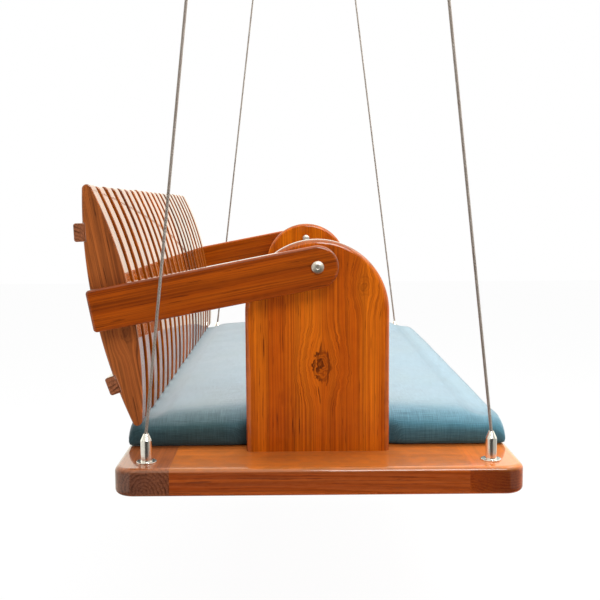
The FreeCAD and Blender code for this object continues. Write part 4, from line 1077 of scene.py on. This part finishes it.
def linenMaterial():
    # plain weave of slubby threads both ways, faded unevenly, with a soft nap; painted light: a paler top, darker
    # sides, back and right end
    material, tree, shader = newMaterial("tealLinen")
    cloth = addNode(tree, "ShaderNodeAttribute", attribute_name="weave").outputs["Vector"]
    split = addNode(tree, "ShaderNodeSeparateXYZ", {0: cloth}).outputs
    pitch = 1 / 0.0012
    warp = sums(tree, "SINE", sums(tree, "MULTIPLY", split[1], pitch * 6.283))
    weft = sums(tree, "SINE", sums(tree, "MULTIPLY", split[0], pitch * 6.283))
    over = sums(tree, "MULTIPLY", sums(tree, "SINE", sums(tree, "MULTIPLY", split[1], pitch * 3.1416)),
                sums(tree, "SINE", sums(tree, "MULTIPLY", split[0], pitch * 3.1416)))
    height = sums(tree, "ADD", sums(tree, "MULTIPLY", over, 0.5), sums(tree, "MULTIPLY", sums(tree, "ADD", warp, weft), 0.2))
    slubLong = noise(tree, vectors(tree, "MULTIPLY", cloth, (24, 760, 1)), 1, 3, 0.7)
    slubCross = noise(tree, vectors(tree, "MULTIPLY", cloth, (760, 24, 1)), 1, 3, 0.7)
    cloudy = noise(tree, vectors(tree, "MULTIPLY", cloth, (26, 44, 1)), 1, 4, 0.65)
    patch = noise(tree, vectors(tree, "MULTIPLY", cloth, (4, 9, 1)), 1, 3, 0.6)
    threads = sums(tree, "ADD", sums(tree, "MULTIPLY", slubLong, 0.48), sums(tree, "MULTIPLY", slubCross, 0.52))
    shade = sums(tree, "ADD", sums(tree, "MULTIPLY", threads, 0.76), sums(tree, "MULTIPLY", cloudy, 0.24))
    color = mixed(tree, spread(tree, shade, 0.3, 0.7, (0.2, 0.8)), tone(54, 94, 112), tone(120, 160, 172))
    color = mixed(tree, spread(tree, patch, 0.4, 0.66, (0.0, 0.6)), color, mixed(tree, 0.6, color, tone(108, 132, 116)))
    color = mixed(tree, spread(tree, over, -0.6, 0.2, (0.08, 0.0)), color, tone(36, 66, 80))
    color = mixed(tree, spread(tree, split[1], -0.05, -0.25, (0.0, 0.4)), color, tone(104, 156, 176))
    # painted shade: the back of the cover, under the backrest, darker
    color = mixed(tree, spread(tree, split[1], 0.05, 0.2, (0.0, 0.42)), color, tone(60, 84, 84))
    # the nap lies flat and pale on top
    # painted highlight: the cover paler where it faces up
    upward = addNode(tree, "ShaderNodeAttribute", attribute_name="upward").outputs["Fac"]
    color = mixed(tree, spread(tree, upward, 0.5, 1.0, (0.0, 0.4)), color, tone(174, 185, 191))
    # painted shade: the cover darker towards its right end, greener at the back and bluer in front
    endShade = mixed(tree, spread(tree, split[1], 0.15, -0.2), tone(42, 66, 70), tone(60, 108, 124))
    color = mixed(tree, spread(tree, split[0], -0.49, -0.64, (0.0, 0.76)), color, endShade)
    # painted shade: the sides darker the less they face up
    color = mixed(tree, spread(tree, upward, 0.4, 0.0, (0.0, 0.3)), color, tone(30, 50, 58))
    color = mixed(tree, 1.0, color, spread(tree, threads, 0.36, 0.64, (0.74, 1.24)), "MULTIPLY")
    tree.links.new(color, shader.inputs["Base Color"])
    shader.inputs["Roughness"].default_value = 0.92
    shader.inputs["Specular IOR Level"].default_value = 0.2
    shader.inputs["Sheen Weight"].default_value = 1.0
    shader.inputs["Sheen Roughness"].default_value = 0.3
    shader.inputs["Sheen Tint"].default_value = tone(236, 243, 246)
    bumped(tree, shader, height, 0.2, 0.0004)
    return material


settle(pad, "seat", linenMaterial(), ["cushion"])
print("cushion made")

# ---- hidden timber keeps its solids, in the same teak by place
hiddenLook, tree, shader = newMaterial("teakTenon")
teak = addNode(tree, "ShaderNodeGroup", node_tree=teakGroup)
tree.links.new(addNode(tree, "ShaderNodeTexCoord").outputs["Object"], teak.inputs["Grain"])
tree.links.new(teak.outputs["Color"], shader.inputs["Base Color"])
shader.inputs["Roughness"].default_value = 0.6
for node in ("panel_tenons", "arm_tenons"):
    frame["nodes"][node].data.materials.clear()
    frame["nodes"][node].data.materials.append(hiddenLook)

# ---- floor, room and lamps
room = {"floor": -1.64, "size": 9.0, "seen": 0.95, "dim": 0.06, "bright": 1.4}
corner = room["size"]
floorMesh = bpy.data.meshes.new("floor")
floorMesh.from_pydata([(-corner, -corner, room["floor"]), (corner, -corner, room["floor"]),
                       (corner, corner, room["floor"]), (-corner, corner, room["floor"])], [], [(0, 1, 2, 3)])
floor = bpy.data.objects.new("floor", floorMesh)
bpy.context.scene.collection.objects.link(floor)
floorLook, tree, shader = newMaterial("paleFloor")
ground = addNode(tree, "ShaderNodeTexCoord").outputs["Object"]
tree.links.new(mixed(tree, noise(tree, ground, 3, 2), tone(246, 246, 246), tone(252, 252, 252)), shader.inputs["Base Color"])
shader.inputs["Roughness"].default_value = 0.9
# white to the camera; in reflections white behind the seat and dim on the photographer's side
rays = addNode(tree, "ShaderNodeLightPath").outputs
direct = sums(tree, "MAXIMUM", rays["Is Camera Ray"], rays["Is Transmission Ray"])
along = addNode(tree, "ShaderNodeSeparateXYZ", {0: ground}).outputs[0]
across = addNode(tree, "ShaderNodeSeparateXYZ", {0: ground}).outputs[1]
beside = sums(tree, "MAXIMUM", spread(tree, across, 0.95, 1.15, (0.0, 0.85)), spread(tree, across, -1.1, -1.4, (0.0, 0.5)))
beside = sums(tree, "MULTIPLY", beside, spread(tree, along, -4.6, -4.0))
mirror = sums(tree, "MAXIMUM", spread(tree, along, -1.1, 1.2, (room["dim"], 1.0)), beside)
mirror = sums(tree, "MULTIPLY", mirror, rays["Is Glossy Ray"])
warm = mixed(tree, rays["Is Glossy Ray"], (1.0, 1.0, 1.0, 1), (1.0, 1.0, 0.9, 1))
glow = addNode(tree, "ShaderNodeEmission", {"Color": warm, "Strength": sums(tree, "ADD", direct, mirror)})
share = sums(tree, "ADD", sums(tree, "MULTIPLY", direct, room["seen"]), rays["Is Glossy Ray"], clamp=True)
blendIn = addNode(tree, "ShaderNodeMixShader", {0: share, 1: shader.outputs[0], 2: glow.outputs[0]})
tree.links.new(blendIn.outputs[0], tree.nodes["Material Output"].inputs[0])
floorMesh.materials.append(floorLook)

world = bpy.data.worlds.new("room")
bpy.context.scene.world = world
world.use_nodes = True
tree = world.node_tree
tree.nodes.clear()
rays = addNode(tree, "ShaderNodeLightPath").outputs
direct = sums(tree, "MAXIMUM", rays["Is Camera Ray"], rays["Is Transmission Ray"])
way = addNode(tree, "ShaderNodeSeparateXYZ", {0: addNode(tree, "ShaderNodeTexCoord").outputs["Generated"]}).outputs
facing = spread(tree, way[0], -0.75, 0.35, (room["dim"], room["bright"]))
for low, high, strength in ((0.36, 0.9, 1.0), (-0.5, -0.82, 0.6)):
    # a tall bright strip on each side of the camera, which only rounded edges and steel mirror
    strip = sums(tree, "MULTIPLY", spread(tree, way[1], low, low + 0.06 * np.sign(low)),
                 spread(tree, way[1], high, high - 0.1 * np.sign(low)))
    strip = sums(tree, "MULTIPLY", sums(tree, "MULTIPLY", strip, spread(tree, way[0], 0.1, -0.2)), strength)
    facing = sums(tree, "MAXIMUM", facing, strip)
# and one overhead, stronger to the right, for the upper edges
upper = sums(tree, "MULTIPLY", spread(tree, way[2], 0.5, 0.6), spread(tree, way[1], 0.5, -0.1, (1.0, 2.0)))
facing = sums(tree, "MAXIMUM", facing, upper)
sky = spread(tree, way[2], -0.3, 0.7, (0.3, 0.6))
plain = addNode(tree, "ShaderNodeBackground", {"Color": (1, 1, 1, 1), "Strength": sky})
shown = addNode(tree, "ShaderNodeBackground", {"Color": (1, 1, 1, 1), "Strength": 1.0})
mirrored = addNode(tree, "ShaderNodeBackground", {"Color": (1.0, 1.0, 0.88, 1), "Strength": facing})
inner = addNode(tree, "ShaderNodeMixShader", {0: rays["Is Glossy Ray"], 1: plain.outputs[0], 2: mirrored.outputs[0]})
outer = addNode(tree, "ShaderNodeMixShader", {0: direct, 1: inner.outputs[0], 2: shown.outputs[0]})
tree.links.new(outer.outputs[0], addNode(tree, "ShaderNodeOutputWorld").inputs[0])

lamps = {"overhead": {"place": (0.5, 0.1, 1.3), "aim": (0, 0, -1.0), "size": 2.0, "power": 82},
         "high front": {"place": (-2.3, -0.5, 0.7), "aim": (-0.4, 0, -1.0), "size": 0.9, "power": 26},
         "far end": {"place": (-0.35, -0.9, 0.2), "aim": (0.75, 0.1, -0.85), "size": 0.6, "power": 5.5},
         "right side": {"place": (0.2, -2.4, 0.1), "aim": (0, 0.2, -0.9), "size": 1.8, "power": 40}}
for name, lamp in lamps.items():
    light = bpy.data.lights.new(name, "AREA")
    light.shape, light.size, light.energy = "SQUARE", lamp["size"], lamp["power"]
    holder = bpy.data.objects.new(name, light)
    holder.location = lamp["place"]
    holder.rotation_mode = "QUATERNION"
    holder.rotation_quaternion = (Vector(lamp["aim"]) - Vector(lamp["place"])).to_track_quat("-Z", "Y")
    holder.visible_glossy = name in ("high front", "far end")  # the large soft ones leave no square mirror images
    bpy.context.scene.collection.objects.link(holder)
bpy.context.scene.view_settings.view_transform = "Standard"
print("floor and lights set")
